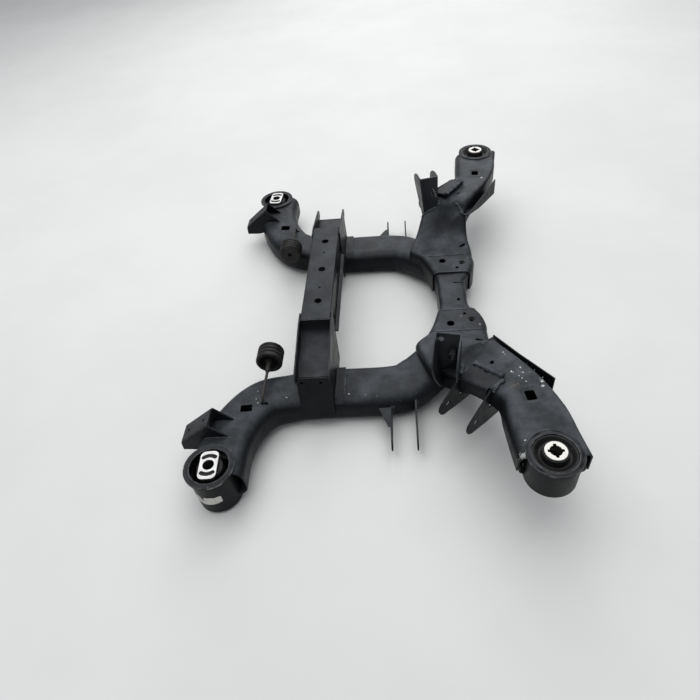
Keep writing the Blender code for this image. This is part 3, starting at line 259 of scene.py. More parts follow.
def turn_outward(data, middles):
    """Makes the faces agree, then flips them all where they look inwards: by volume if the mesh is closed."""
    mesh = bmesh.new()
    mesh.from_mesh(data)
    bmesh.ops.recalc_face_normals(mesh, faces=mesh.faces)
    mesh.verts.ensure_lookup_table()
    if all(len(edge.link_faces) == 2 for edge in mesh.edges):
        outward = mesh.calc_volume(signed=True)
    else:
        outward = sum(face.normal.dot(face.calc_center_median() - Vector(middles[face.verts[0].index]))
                      * face.calc_area() for face in mesh.faces)
    if outward < 0:
        bmesh.ops.reverse_faces(mesh, faces=mesh.faces)
    mesh.to_mesh(data)
    mesh.free()


def in_scene(name, data):
    """A scene object for a mesh, a lamp or a camera."""
    item = bpy.data.objects.new(name, data)
    bpy.context.scene.collection.objects.link(item)
    return item


def mesh_object(name, mesh, agree=True):
    """A scene object from a bmesh, with its faces made to agree if asked."""
    if agree:
        bmesh.ops.recalc_face_normals(mesh, faces=mesh.faces)
    data = bpy.data.meshes.new(name)
    mesh.to_mesh(data)
    mesh.free()
    return in_scene(name, data)


def thicken(item, thickness=SHEET):
    """Sheet thickness, inwards from the side that the faces look at."""
    solid = item.modifiers.new("sheet", "SOLIDIFY")
    solid.thickness = thickness
    solid.offset = -1
    solid.use_even_offset = True


def combine(item, other, way):
    """Joins another object's volume to an object or takes it out, by a boolean of the given way."""
    boolean = item.modifiers.new("combine", "BOOLEAN")
    boolean.operation = way
    boolean.solver = "EXACT"
    boolean.object = other


def cut(item, *cutters, keep=()):
    """Takes the cutters' volumes out of an object and removes the cutters that aren't to be kept."""
    for cutter in cutters:
        combine(item, cutter, "DIFFERENCE")
    settle(item)
    drop(*(cutter for cutter in cutters if cutter not in keep))


def settle(item):
    """Works the object's modifiers into its mesh."""
    depsgraph = bpy.context.evaluated_depsgraph_get()
    data = bpy.data.meshes.new_from_object(item.evaluated_get(depsgraph))
    item.modifiers.clear()
    old = item.data
    item.data = data
    bpy.data.meshes.remove(old)


def round_edges(item, width=0.0006, angle=38):
    """Rounds every sharp edge and marks each rounding's middle for worn paint and painted highlight."""
    mesh = bmesh.new()
    mesh.from_mesh(item.data)
    layer = mesh.verts.layers.float.new("wear_and_highlight")
    bmesh.ops.remove_doubles(mesh, verts=mesh.verts, dist=2e-5)
    bmesh.ops.dissolve_degenerate(mesh, edges=mesh.edges, dist=2e-5)
    sharp = [edge for edge in mesh.edges
             if len(edge.link_faces) == 2 and edge.calc_face_angle(0) > np.radians(angle)]
    made = bmesh.ops.bevel(mesh, geom=sharp, offset=width, offset_type="OFFSET", segments=2, profile=0.5,
                           affect="EDGES", clamp_overlap=True)
    strips = set(made["faces"])
    for vert in made["verts"]:
        vert[layer] = 1.0 if all(face in strips for face in vert.link_faces) else 0.0
    mesh.to_mesh(item.data)
    mesh.free()
    return item


def smooth(item, angle=32):
    """Smooth shading, with edges sharper than the angle kept and flat faces led by their own normals."""
    item.data.shade_smooth()
    item.data.set_sharp_from_angle(angle=np.radians(angle))
    normals = item.modifiers.new("normals", "WEIGHTED_NORMAL")
    normals.keep_sharp = True
    normals.weight = 80
    settle(item)


def show(item, nodes, material, angle=32):
    """Smooths a piece, gives it its material and its place on the root body, and hides the nodes that it
    stands for.
    """
    smooth(item, angle)
    item.data.materials.clear()
    item.data.materials.append(material)
    if nodes:
        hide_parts(*nodes)
    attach(item, "root")


def drop(*items):
    """Removes helper objects."""
    for item in items:
        bpy.data.objects.remove(item, do_unlink=True)


def solid_copy(node, name):
    """The node's own solid as one welded mesh with its flat faces made whole."""
    mesh = bmesh.new()
    mesh.from_mesh(NODES[node].data)
    bmesh.ops.remove_doubles(mesh, verts=mesh.verts, dist=1e-6)
    bmesh.ops.dissolve_limit(mesh, angle_limit=np.radians(0.6), verts=mesh.verts, edges=mesh.edges)
    return mesh_object(name, mesh, False)


def drum(centre, radius, length, steps=48):
    """An upright closed cylinder for cutting."""
    mesh = bmesh.new()
    bmesh.ops.create_cone(mesh, cap_ends=True, segments=steps, radius1=radius, radius2=radius, depth=length,
                          matrix=Matrix.Translation(centre))
    return mesh_object("cutter", mesh)


def block(centre, size, turn=0.0, corner=0.0):
    """A box for cutting, turned about z, with rounded upright corners."""
    mesh = bmesh.new()
    bmesh.ops.create_cube(mesh, size=1, matrix=Matrix.Diagonal((*size, 1)))
    if corner:
        upright = [edge for edge in mesh.edges
                   if abs(edge.verts[0].co.z - edge.verts[1].co.z) > 0.9 * size[2]]
        bmesh.ops.bevel(mesh, geom=upright, offset=corner, segments=4, profile=0.5, affect="EDGES")
    place = Matrix.Translation(centre) @ Matrix.Rotation(np.radians(turn), 4, "Z")
    bmesh.ops.transform(mesh, matrix=place, verts=mesh.verts)
    return mesh_object("cutter", mesh)


def slot_cutter(side, middle, size, turn, height, depth, corner=HOLE_CORNER):
    """A box for one of the holes with corners, through the sheet at a height, on one side."""
    return block((middle[0], side * middle[1], height), (*size, depth), side * turn, corner)


def hole_cutter(side, x, y, radius, height):
    """A cylinder for one of the round holes, through the sheet at a height, on one side."""
    return drum((x, side * y, height), radius, 0.03)


def soften(corners, reach, steps=4):
    """Closed outline with each corner b as (1-t)^2 a + 2t(1-t) b + t^2 c, with a and c at reach from b."""
    corners = np.array(corners, float)

    def toward(other):
        way = other - corners
        length = np.linalg.norm(way, axis=1)[:, None]
        return corners + way * np.minimum(reach / length, 0.45)

    start, end = toward(np.roll(corners, 1, axis=0)), toward(np.roll(corners, -1, axis=0))
    share = np.linspace(0, 1, steps + 1)[None, :, None]
    curve = ((1 - share) ** 2 * start[:, None] + 2 * share * (1 - share) * corners[:, None]
             + share ** 2 * end[:, None])
    return curve.reshape(-1, 2)


def turned(name, profile, centre, side=1, steps=120, change=None, lying=False):
    """A turned piece: each (radius, height) of a closed profile goes round as radius times cos and sin.

    The change, if any, is a function of radius, height and angle that gives the bent radius and height.
    A lying piece has its axis along y, with the height counted outwards.
    """
    angle = np.linspace(0, 2 * np.pi, steps, endpoint=False)[None, :]
    radius = profile[:, :1] + 0 * angle
    height = profile[:, 1:] + 0 * angle
    if change:
        radius, height = change(radius, height, angle + 0 * radius)
    first, second = radius * np.cos(angle), radius * np.sin(angle)
    points = np.stack([first, height, second] if lying else [first, second, height], axis=2)
    return grid_object(name, points + np.array(centre), around=True, loop=True, side=side)


def prism(name, outline, low, high, side=1):
    """A closed slab: an (x, y) outline repeated at two heights and capped."""
    outline = np.array(outline, float)
    levels = [np.column_stack([outline, np.full(len(outline), height)]) for height in (low, high)]
    return grid_object(name, np.stack(levels), around=True, ends=True, side=side)


def kidney(inner, outer, start, sweep, steps=24):
    """Outline between two radii over a sweep of angle in degrees, with half-round ends."""
    turn = np.radians(np.linspace(start, start + sweep, steps))
    middle, half = (inner + outer) / 2, (outer - inner) / 2
    parts = [outer * np.stack([np.cos(turn), np.sin(turn)], axis=1)]
    for end, base in ((turn[-1], 0), (turn[0], np.pi)):
        tip = end + base + np.linspace(0, np.pi, 9)[1:-1]
        parts.append(middle * np.array([np.cos(end), np.sin(end)])
                     + half * np.stack([np.cos(tip), np.sin(tip)], axis=1))
    parts.insert(2, inner * np.stack([np.cos(turn[::-1]), np.sin(turn[::-1])], axis=1))
    return np.concatenate(parts)


def rounded_plate(width, length, corner, bulge, steps=10):
    """Outline of a rounded rectangle whose ends swell by the bulge times 1 - (2x / width)^2."""
    parts = []
    for right, top, start in ((1, 1, 0), (-1, 1, 90), (-1, -1, 180), (1, -1, 270)):
        turn = np.radians(np.linspace(start, start + 90, steps))
        parts.append(np.stack([right * (width / 2 - corner) + corner * np.cos(turn),
                               top * (length / 2 - corner) + corner * np.sin(turn)], axis=1))
        if right * top > 0:
            between_corners = np.linspace(0.9, -0.9, 9)[:, None] * top * (width / 2 - corner)
            parts.append(np.hstack([between_corners, 0 * between_corners + top * length / 2]))
    outline = np.concatenate(parts)
    swell = bulge * (1 - (2 * outline[:, 0] / width) ** 2)
    outline[:, 1] += np.sign(outline[:, 1]) * swell * (np.abs(outline[:, 1]) > length / 4)
    return outline


def turn_plan(outline, degrees):
    """An (x, y) outline turned about its origin."""
    turn = np.radians(degrees)
    return outline @ np.array([[np.cos(turn), np.sin(turn)], [-np.sin(turn), np.cos(turn)]])


def along_path(places, spacing):
    """Points at an even spacing on a line through the places, with the distance to each."""
    places = np.array(places, float)
    reach = np.concatenate([[0], np.cumsum(np.linalg.norm(np.diff(places, axis=0), axis=1))])
    distance = np.linspace(0, reach[-1], max(int(reach[-1] / spacing), 6))
    return np.stack([np.interp(distance, reach, places[:, axis]) for axis in range(3)], axis=1), distance


def bead(name, places, radius, out=(0, 0, 1), side=1, pitch=0.0040):
    """A weld bead: rings of radius r round a path, with r = radius * taper * (1 + ripples + slow swells).

    The ripples are 0.12 sin(2 pi s / pitch + 1.3 cos a), which bends each one into an arc, and the swells
    are sines of the distance s. The rings are a quarter wider than they are high.
    """
    path, distance = along_path(places, 0.0008)
    run = np.gradient(path, axis=0)
    run /= np.linalg.norm(run, axis=1)[:, None]
    across = np.cross(run, np.array(out, float))
    across /= np.linalg.norm(across, axis=1)[:, None]
    upward = np.cross(across, run)
    angle = np.linspace(0, 2 * np.pi, 14, endpoint=False)[None, :]
    distance = distance[:, None]
    taper = np.sqrt(np.clip(np.minimum(distance, distance[-1] - distance) / 0.003, 0.02, 1))
    swell = 0.15 * np.sin(distance * 410 + path[:1, :1] * 900) + 0.15 * np.sin(distance * 173 + 2)
    ring = radius * taper * (1 + 0.12 * np.sin(2 * np.pi * distance / pitch + 1.3 * np.cos(angle)) + swell)
    points = (path[:, None] + (1.25 * ring * np.cos(angle))[..., None] * across[:, None]
              + (0.85 * ring * np.sin(angle))[..., None] * upward[:, None])
    return grid_object(name, points, around=True, ends=True, side=side)


def spatter(name, places, sizes, side=1):
    """Weld drops: a ball of each size at each place, flattened to two thirds of its height."""
    mesh = bmesh.new()
    bmesh.ops.create_icosphere(mesh, subdivisions=1, radius=1)
    ball = np.array([vert.co for vert in mesh.verts])
    faces = np.array([[vert.index for vert in face.verts] for face in mesh.faces])
    mesh.free()
    points = places[:, None] + ball * [1, 1, 0.66] * sizes[:, None, None]
    faces = (faces[None] + (np.arange(len(places)) * len(ball))[:, None, None]).reshape(-1, 3)
    data = bpy.data.meshes.new(name)
    data.from_pydata((points.reshape(-1, 3) * [1, side, 1]).tolist(), [], faces[:, ::side].tolist())
    return in_scene(name, data)


def joined(name, items):
    """One object from several meshes."""
    mesh = bmesh.new()
    for item in items:
        mesh.from_mesh(item.data)
    drop(*items)
    return mesh_object(name, mesh, False)


def surface_tree(names):
    """A tree of the named pieces' faces, for rays."""
    verts, faces = [], []
    for name in names:
        data = bpy.data.objects[name].data
        base = len(verts)
        verts += [vert.co.copy() for vert in data.vertices]
        faces += [[base + index for index in face.vertices] for face in data.polygons]
    return BVHTree.FromPolygons(verts, faces)


def rest_on(tree, places, way=(0, 0, -1), reach=0.12):
    """The places moved along the way until they meet the tree's faces; those that miss are left out."""
    found = []
    for place in places:
        hit = tree.ray_cast(Vector(place) - Vector(way) * reach, Vector(way), 2 * reach)[0]
        if hit:
            found.append(tuple(hit))
    return found


# Node helpers for the coatings


def fill(tree, node, inputs):
    """Links or sets a shader node's inputs."""
    for key, value in inputs.items():
        if isinstance(value, bpy.types.NodeSocket):
            tree.links.new(value, node.inputs[key])
        else:
            node.inputs[key].default_value = value
    return node


def put(tree, kind, inputs=None, **settings):
    """Adds a shader node, sets it up and links or fills its inputs."""
    node = tree.nodes.new(kind)
    for key, value in settings.items():
        setattr(node, key, value)
    return fill(tree, node, inputs or {})


def new_material(name):
    """An empty material with its Principled shader."""
    material = bpy.data.materials.new(name)
    material.use_nodes = True
    tree = material.node_tree
    return material, tree, tree.nodes["Principled BSDF"], put(tree, "ShaderNodeTexCoord").outputs["Object"]


def between(tree, value, low, high):
    """Zero where the value is at low, one where it is at high, clamped."""
    return put(tree, "ShaderNodeMapRange", {"Value": value, "From Min": low, "From Max": high},
               interpolation_type="SMOOTHSTEP").outputs["Result"]


def noise(tree, place, scale, detail, rough=0.5):
    """The value of a noise pattern."""
    return put(tree, "ShaderNodeTexNoise", {"Vector": place, "Scale": scale, "Detail": detail,
                                            "Roughness": rough}).outputs["Fac"]


def grain(tree, place, scale, low, high, detail=4.0, stretch=None, turn=(0, 0, 0)):
    """A noise mask: patches, or scratches where the pattern is stretched."""
    if stretch:
        mapping = put(tree, "ShaderNodeMapping", {"Vector": place, "Scale": stretch, "Rotation": turn})
        place = mapping.outputs[0]
    return between(tree, noise(tree, place, scale, detail, 0.6), low, high)


def times(tree, product, *masks):
    """Product of masks."""
    for mask in masks:
        product = put(tree, "ShaderNodeMath", {0: product, 1: mask}, operation="MULTIPLY").outputs[0]
    return product


def most(tree, first, second):
    """The larger of two masks."""
    return put(tree, "ShaderNodeMath", {0: first, 1: second}, operation="MAXIMUM").outputs[0]


def mix(tree, mask, first, second):
    """Mixes two numbers, or two colours where the second is three numbers; the others may be sockets."""
    colours = isinstance(second, tuple)
    first, second = ((*value, 1.0) if isinstance(value, tuple) else value for value in (first, second))
    inputs = dict(zip((0, 6, 7) if colours else (0, 2, 3), (mask, first, second)))
    node = put(tree, "ShaderNodeMix", inputs, data_type="RGBA" if colours else "FLOAT")
    return node.outputs[2 if colours else 0]


def roughen(tree, shader, place, scale, detail, strength, distance, under=None):
    """Bumps from noise, on top of another bump if one is given."""
    inputs = {"Height": noise(tree, place, scale, detail), "Strength": strength, "Distance": distance}
    if under:
        inputs["Normal"] = under
    bump = put(tree, "ShaderNodeBump", inputs).outputs[0]
    tree.links.new(bump, shader.inputs["Normal"])
    return bump


def spots(tree, place, marks):
    """A mask that is one inside each mark, given as x, y, z and radius, with a ragged rim."""
    wobble = put(tree, "ShaderNodeMath", {0: noise(tree, place, 430.0, 6.0), 1: 3.4, 2: -0.7},
                 operation="MULTIPLY_ADD").outputs[0]
    found = None
    for *middle, radius in marks:
        far = put(tree, "ShaderNodeVectorMath", {0: place, 1: middle}, operation="DISTANCE").outputs["Value"]
        share = put(tree, "ShaderNodeMath", {0: far, 1: radius}, operation="DIVIDE").outputs[0]
        mask = between(tree, times(tree, share, wobble), 1.05, 0.8)
        found = mask if found is None else most(tree, found, mask)
    return found


def coating(name, tone=(0.0045, 0.0052, 0.0063), light=(0.009, 0.0105, 0.013), scratched=0.5, top_light_and_dust=0.35,
            rusty=0.25, chips=(), rust_marks=()):
    """Satin dip coating: cloudy dark tone, dust and painted top light on upward faces, hairline scratches,
    rust specks, chips.
    """
    material, tree, shader, place = new_material(name)
    colour = mix(tree, grain(tree, place, 9.0, 0.35, 0.68), tone, light)
    colour = mix(tree, times(tree, grain(tree, place, 700.0, 0.62, 0.80, 2.0), 0.25), colour, SPECK)
    normal = put(tree, "ShaderNodeNewGeometry").outputs["Normal"]
    # Painted top light: upward faces are mixed towards the pale dust colour, partly real dust and partly
    # standing in for the light on the tops.
    upward = between(tree, put(tree, "ShaderNodeSeparateXYZ", {0: normal}).outputs["Z"], 0.45, 0.98)
    film = mix(tree, grain(tree, place, 24.0, 0.36, 0.74, 8.0), 0.25, 1.0)
    dust = times(tree, upward, film, top_light_and_dust)
    colour = mix(tree, dust, colour, DUST_AND_TOP_LIGHT)
    lines = None
    for turn, size in ((0.3, 26.0), (1.25, 30.0), (2.2, 24.0), (2.8, 34.0)):
        line = grain(tree, place, size, 0.725, 0.750, 3.0, (1.0, 24.0, 6.0), (0.2, 0.35, turn))
        lines = line if lines is None else most(tree, lines, line)
    lines = times(tree, lines, grain(tree, place, 13.0, 0.48, 0.62), scratched)
    colour = mix(tree, lines, colour, SCRATCH)
    rust = times(tree, grain(tree, place, 85.0, 0.66, 0.72, 5.0), grain(tree, place, 11.0, 0.48, 0.62), rusty)
    if rust_marks:
        patchy = mix(tree, grain(tree, place, 420.0, 0.40, 0.62, 3.0), 0.25, 0.95)
        rust = most(tree, rust, times(tree, spots(tree, place, rust_marks), patchy))
    colour = mix(tree, rust, colour, RUST)
    wear_and_highlight = put(tree, "ShaderNodeAttribute", attribute_name="wear_and_highlight").outputs["Fac"]
    wear_and_highlight = times(tree, wear_and_highlight, grain(tree, place, 70.0, 0.38, 0.62, 5.0))
    # Painted highlight: the marked edges and can rims are lightened and made partly metallic, partly as worn
    # paint and partly standing in for highlights on the edges.
    colour = mix(tree, times(tree, wear_and_highlight, 0.8), colour, WORN_EDGE_AND_HIGHLIGHT)
    if chips:
        bare = spots(tree, place, chips)
        colour = mix(tree, bare, colour, BARE_CHIP)
        wear_and_highlight = most(tree, wear_and_highlight, bare)
    rough = mix(tree, grain(tree, place, 30.0, 0.3, 0.7), 0.34, 0.48)
    rough = mix(tree, most(tree, dust, rust), rough, 0.85)
    fill(tree, shader, {"Base Color": colour, "Specular IOR Level": 0.13, "Roughness": rough,
                        "Metallic": times(tree, wear_and_highlight, 0.5)})
    dents = roughen(tree, shader, place, 26.0, 2.0, 0.18, 0.004)
    roughen(tree, shader, place, 260.0, 3.0, 0.22, 0.0006, dents)
    return material


def rubber_finish(name, tone, dust, grey):
    """Matt rubber, with chalky dust in patches and a fine moulded grain."""
    material, tree, shader, place = new_material(name)
    mask = times(tree, grain(tree, place, 45.0, 0.40, 0.75, 8.0), dust)
    colour = mix(tree, mask, tone, grey)
    colour = mix(tree, times(tree, grain(tree, place, 520.0, 0.64, 0.76, 2.0), 0.35), colour, CHALK)
    fill(tree, shader, {"Base Color": colour, "Specular IOR Level": 0.25,
                        "Roughness": mix(tree, mask, 0.55, 0.9)})
    roughen(tree, shader, place, 600.0, 3.0, 0.3, 0.0004)
    return material


def metal_finish(name, tone, powder, powdery, rough, shine, machined=None, lower_tone=None):
    """Bare metal under patches of dull corrosion; below its machined top, if it has one, a darker tone."""
    material, tree, shader, place = new_material(name)
    mask = times(tree, grain(tree, place, 120.0, 0.36, 0.66, 8.0), powdery)
    colour = mix(tree, mask, tone, powder)
    colour = mix(tree, times(tree, grain(tree, place, 210.0, 0.63, 0.74, 4.0), 0.55), colour, STAIN)
    shine = mix(tree, mask, shine, 0.0)
    if machined:
        # Darker below a height: the sides and the bore's walls take the lower tone and lose their shine.
        height = put(tree, "ShaderNodeSeparateXYZ", {0: place}).outputs["Z"]
        below_top = between(tree, height, machined, machined - 0.0008)
        colour = mix(tree, below_top, colour, lower_tone)
        shine = mix(tree, below_top, shine, 0.0)
    fill(tree, shader, {"Base Color": colour, "Metallic": shine, "Roughness": mix(tree, mask, rough, 0.85)})
    roughen(tree, shader, place, 420.0, 4.0, 0.35, 0.0003)
    return material


def both(*marks):
    """Marks given on the left, repeated on the right."""
    return marks + tuple((x, -y, z, radius) for x, y, z, radius in marks)


# Colours of what lies on the coatings, the rubbers and the metals
SPECK = (0.11, 0.115, 0.12)
# Pale dust colour, also used as painted top light on upward faces
DUST_AND_TOP_LIGHT = (0.124, 0.137, 0.152)
SCRATCH = (0.20, 0.21, 0.22)
RUST = (0.130, 0.098, 0.072)
# Worn edge colour, also used as painted highlight on rounded edges
WORN_EDGE_AND_HIGHLIGHT = (0.15, 0.157, 0.165)
BARE_CHIP = (0.42, 0.43, 0.42)
CHALK = (0.20, 0.19, 0.18)
STAIN = (0.10, 0.085, 0.07)

# Chips, scratches and rust, as x, y, z and radius
CROSS_CHIPS = ((0.2495, 0.1240, 0.0950, 0.0010), (0.2110, 0.0946, 0.0950, 0.0008))
ARM_CHIPS = (
    (0.2602, -0.5210, 0.1741, 0.0062), (0.2692, -0.4950, 0.1780, 0.0013), (0.3656, -0.5222, 0.1711, 0.0016),
    (0.3219, -0.3695, 0.1753, 0.0036), (0.3211, -0.3805, 0.1771, 0.0030), (0.2653, -0.2934, 0.1778, 0.0013),
    (0.2682, -0.2989, 0.1779, 0.0010), (0.2895, -0.3338, 0.1781, 0.0011), (0.3044, -0.3458, 0.1768, 0.0012),
    (0.2724, -0.3412, 0.1764, 0.0011), (0.2754, -0.3444, 0.1770, 0.0013), (0.2927, -0.3462, 0.1779, 0.0013),
    (0.2843, -0.3539, 0.1775, 0.0011), (0.2884, -0.3603, 0.1776, 0.0012), (0.2940, -0.3680, 0.1778, 0.0012),
    (0.3110, 0.3732, 0.1780, 0.0022), (0.2932, 0.3263, 0.1767, 0.0018), (0.1326, 0.2206, 0.0983, 0.0010),
    (0.1374, 0.2112, 0.0979, 0.0012), (0.1500, 0.2016, 0.0971, 0.0010), (0.2495, -0.1240, 0.0950, 0.0012),
)
ARM_RUST = (
    (0.2193, -0.3223, 0.1728, 0.0040), (0.2256, -0.3292, 0.1743, 0.0034), (0.2368, -0.3300, 0.1691, 0.0030),
    (0.2660, -0.3798, 0.1768, 0.0026), (0.2717, -0.3766, 0.1768, 0.0030), (0.2783, -0.3737, 0.1771, 0.0020),
)
TUBE_CHIPS = (
    (-0.2253, -0.3177, 0.0827, 0.0010), (-0.2316, -0.3060, 0.0818, 0.0012),
    (-0.2314, -0.2828, 0.0802, 0.0010), (-0.1711, -0.2954, 0.0722, 0.0012),
    (-0.0391, -0.2871, 0.0647, 0.0014), (0.0196, -0.2937, 0.0628, 0.0014),
    (-0.0034, -0.2906, 0.0636, 0.0010), (-0.2360, -0.3310, 0.0865, 0.0012),
)
BRACKET_CHIPS = ((-0.0687, -0.3098, 0.1362, 0.0008), (-0.0687, -0.2600, 0.1362, 0.0010))
WEB_SCRATCH = tuple((0.1740 + 0.0082 * share ** 0.7, 0.2925 + 0.0018 * share, 0.1990 - 0.0249 * share, 0.0011)
                    for share in np.linspace(0, 1, 11))
CAN_CHIPS = tuple((SLOTTED_BUSH[0] + SLOTTED_FLANGE[0] * np.cos(turn),
                   -SLOTTED_BUSH[1] + SLOTTED_FLANGE[0] * np.sin(turn), 0.0957, 0.0019)
                  for turn in np.linspace(-1.40, -0.88, 8))
COATING = coating("satin_coating", chips=both(*CROSS_CHIPS))
ARM_COATING = coating("arm_coating", top_light_and_dust=0.5, chips=ARM_CHIPS, rust_marks=ARM_RUST)
TUBE_COATING = coating("tube_coating", top_light_and_dust=0.38, chips=TUBE_CHIPS)
BRACKET_COATING = coating("bracket_coating", scratched=0.7, top_light_and_dust=0.25, chips=BRACKET_CHIPS,
                          rust_marks=ARM_RUST)
# Painted light: a lighter copy of the satin coating for the upper link brackets, standing in for the light
# falling on their webs.
LIT_LINK_COATING = coating("lit_link_coating", (0.019, 0.022, 0.025), (0.030, 0.034, 0.038), 0.8, 0.3,
                       chips=WEB_SCRATCH)
CAN_COATING = coating("can_coating", (0.005, 0.0055, 0.006), (0.010, 0.011, 0.012), 0.4, 0.22,
                      chips=CAN_CHIPS)
# Painted highlight: the beads' lighter tone is partly the welds' own paler look and partly stands in for the
# highlights on their ripples.
WELD_COATING_WITH_HIGHLIGHT = coating("weld_coating_with_highlight", (0.012, 0.014, 0.017), (0.040, 0.044, 0.050), 0.0, 0.75, 0.8)
PALE_METAL = metal_finish("pale_core_metal", (0.62, 0.62, 0.61), (0.66, 0.65, 0.63), 0.8, 0.42, 0.6,
                          CORE_HIGH - 0.0014, (0.014, 0.014, 0.015))
POWDER_METAL = metal_finish("powdery_sleeve_metal", (0.66, 0.64, 0.60), (0.78, 0.76, 0.72), 1.0, 0.5, 0.4,
                            ROUND_SEAT + 0.0078, (0.024, 0.019, 0.015))
RUSTY_METAL = metal_finish("rusty_rod_metal", (0.028, 0.026, 0.024), (0.026, 0.021, 0.017), 1.0, 0.55, 0.5)
BUSH_RUBBER = rubber_finish("bush_rubber", (0.006, 0.006, 0.0065), 0.22, (0.045, 0.044, 0.042))
HANGER_RUBBER = rubber_finish("hanger_rubber_finish", (0.008, 0.0077, 0.0075), 0.7, (0.048, 0.046, 0.044))
LABEL_PAPER = rubber_finish("label_paper", (0.62, 0.61, 0.57), 0.7, (0.42, 0.41, 0.37))


def tube_points(grow=0.0, count=170):
    """Side tube: rounded rectangles, grown if asked, carried along the tube's curved centre line."""
    path = spline_rows(TUBE_ROWS, count)
    low = np.maximum(path[:, 3], 0) - grow
    across, height = ring_profile(path[:, 2] + grow, low, path[:, 4] + grow, np.full(count, TUBE_CORNER))
    return carry(path, across, height, np.ones(count))


def past_square(points, middle, size, degrees):
    """Distance out from a turned rectangle: the larger of the two distances past its half sizes."""
    turn = np.radians(degrees)
    x, y = points[..., 0] - middle[0], points[..., 1] - middle[1]
    return np.maximum(np.abs(x * np.cos(turn) + y * np.sin(turn)) - size[0] / 2,
                      np.abs(y * np.cos(turn) - x * np.sin(turn)) - size[1] / 2)


def tube_relief(points):
    """Height added to a tube's top: a turned-up rim 1 mm out from the square hole."""
    return 0.0011 * hill(past_square(points, *TUBE_SQUARE) - 0.001, 0.0022)


def arm_relief(points):
    """Height added to an arm's top: a rim round the square hole, two dishes by the root and a ridge."""
    x, y = points[..., 0], points[..., 1]
    square = past_square(points, *ARM_SQUARE)
    rim = 0.0014 * hill(square - 0.0065, 0.003) - 0.0007 * hill(square - 0.001, 0.003)
    dish = -0.006 * hill(np.hypot(x - 0.150, (y - 0.205) / 1.5), 0.026)
    notch = -0.003 * hill(np.hypot((x - ARM_GAP[0][0]) / 1.6, (y - ARM_GAP[0][1]) / 0.9), 0.009)
    ridge = 0.0022 * hill(y - 0.232 - 0.5 * (x - 0.225), 0.006) * smooth_step((x - 0.205) / 0.02)
    return rim + dish + notch + ridge


def arm_points(count=190):
    """Arm's upper shell: an open cap over the arm's curved line, its edge rising from the crossmember's."""
    path = spline_rows(ARM_ROWS, count)
    low = path[:, 3] + ARM_SEAM_RISE * np.clip((path[:, 1] - CROSS_HALF_LENGTH) / 0.06, 0, 1)
    change = smooth_step((path[:, 1] - 0.27) / 0.08)
    across, height = cap_profile(path[:, 2], low, path[:, 4], path[:, 5], CROSS_CORNER + 0.007 * change,
                                 CROSS_CORNER - 0.008 * change)
    return carry(path, across, height, path[:, 6])


def arm_lower_points(count=120):
    """Arm's lower shell: an open pan that nests inside the upper one."""
    path = spline_rows(ARM_ROWS, count)
    inset = SHEET + NEST
    across, height = pan_profile(path[:, 2] - inset, path[:, 3], PAN_LIP, CROSS_CORNER - inset)
    return carry(path, across, height, path[:, 6])


def cross_points(start, end, inset, count, upper=True):
    """A crossmember shell between two places along y: a cap, or a pan, as wide as the member is there."""
    fine = spline_rows(CROSS_ROWS, 200)
    place = np.linspace(start, end, count)
    half = np.interp(place, fine[:, 1], fine[:, 2]) - inset
    path = np.stack([np.interp(place, fine[:, 1], fine[:, 0]), place], axis=1)
    low = np.full(count, CROSS_BOTTOM)
    high = np.full(count, CROSS_TOP - inset)
    if upper:
        across, height = cap_profile(half, low, high, high, CROSS_CORNER - inset)
    else:
        across, height = pan_profile(half, low, PAN_LIP, CROSS_CORNER - 0.0069)
    return carry(path, across, height, np.zeros(count))


def tube_cutter(side):
    """The room that a side tube takes up."""
    return grid_object("cutter", tube_points(CLEAR), around=True, ends=True, side=side)


def add_tubes():
    """Hollow side tubes, cut round by the can, with their access hole and the hanger's slot."""
    x, y = SLOTTED_BUSH
    for side, name in SIDES:
        points = tube_points()
        path = spline_rows(TUBE_ROWS, len(points))
        points[..., 2] += tube_relief(points) * (points[..., 2] > path[:, 4][:, None] - 0.002)
        item = grid_object("tube_skin_" + name, points, around=True, side=side)
        thicken(item, TUBE_WALL)
        cut(item, drum((x, side * y, 0.05), CAN_RADIUS + CLEAR, 0.2, 96),
            block((x - CAN_RADIUS, side * (y + CAN_RADIUS - 0.008), 0.05),
                  (2 * CAN_RADIUS, 2 * CAN_RADIUS, 0.2)),
            slot_cutter(side, *TUBE_SQUARE, SLOTTED_SEAT, 0.05),
            slot_cutter(side, *HANGER_SLOT, SLOTTED_SEAT, 0.06))
        show(round_edges(item), ["side_tube_" + name], TUBE_COATING)


def add_arms():
    """Upper and lower shells of both arms, trimmed where they meet the tube and the can."""
    x, y = ROUND_BUSH
    for side, name in SIDES:
        tube = tube_cutter(side)
        can = drum((x, side * y, ROUND_SEAT), CAN_RADIUS + CLEAR, 0.24, 72)
        points = arm_points()
        path = spline_rows(ARM_ROWS, len(points))
        top_share = smooth_step((points[..., 2] - path[:, 3][:, None]) / 0.035)
        points[..., 2] += arm_relief(points) * top_share
        upper = grid_object("arm_shell_" + name, points, side=side)
        thicken(upper)
        cut(upper, tube, can, slot_cutter(side, *ARM_SQUARE, ROUND_SEAT, 0.03),
            drum((ARM_HOLE[0], side * ARM_HOLE[1], ROUND_SEAT), ARM_HOLE[2], 0.04, 24),
            slot_cutter(side, *ARM_GAP, CROSS_TOP, 0.04, 0.0028), keep=(tube, can))
        lower = grid_object("arm_pan_" + name, arm_lower_points(), side=side)
        thicken(lower)
        cut(lower, tube, can, hole_cutter(side, 0.290, 0.420, DRAIN, 0.125),
            hole_cutter(side, 0.200, 0.170, DRAIN, CROSS_BOTTOM))
        for item, node in ((upper, "arm_upper_"), (lower, "arm_lower_")):
            show(round_edges(item), [node + name], ARM_COATING)


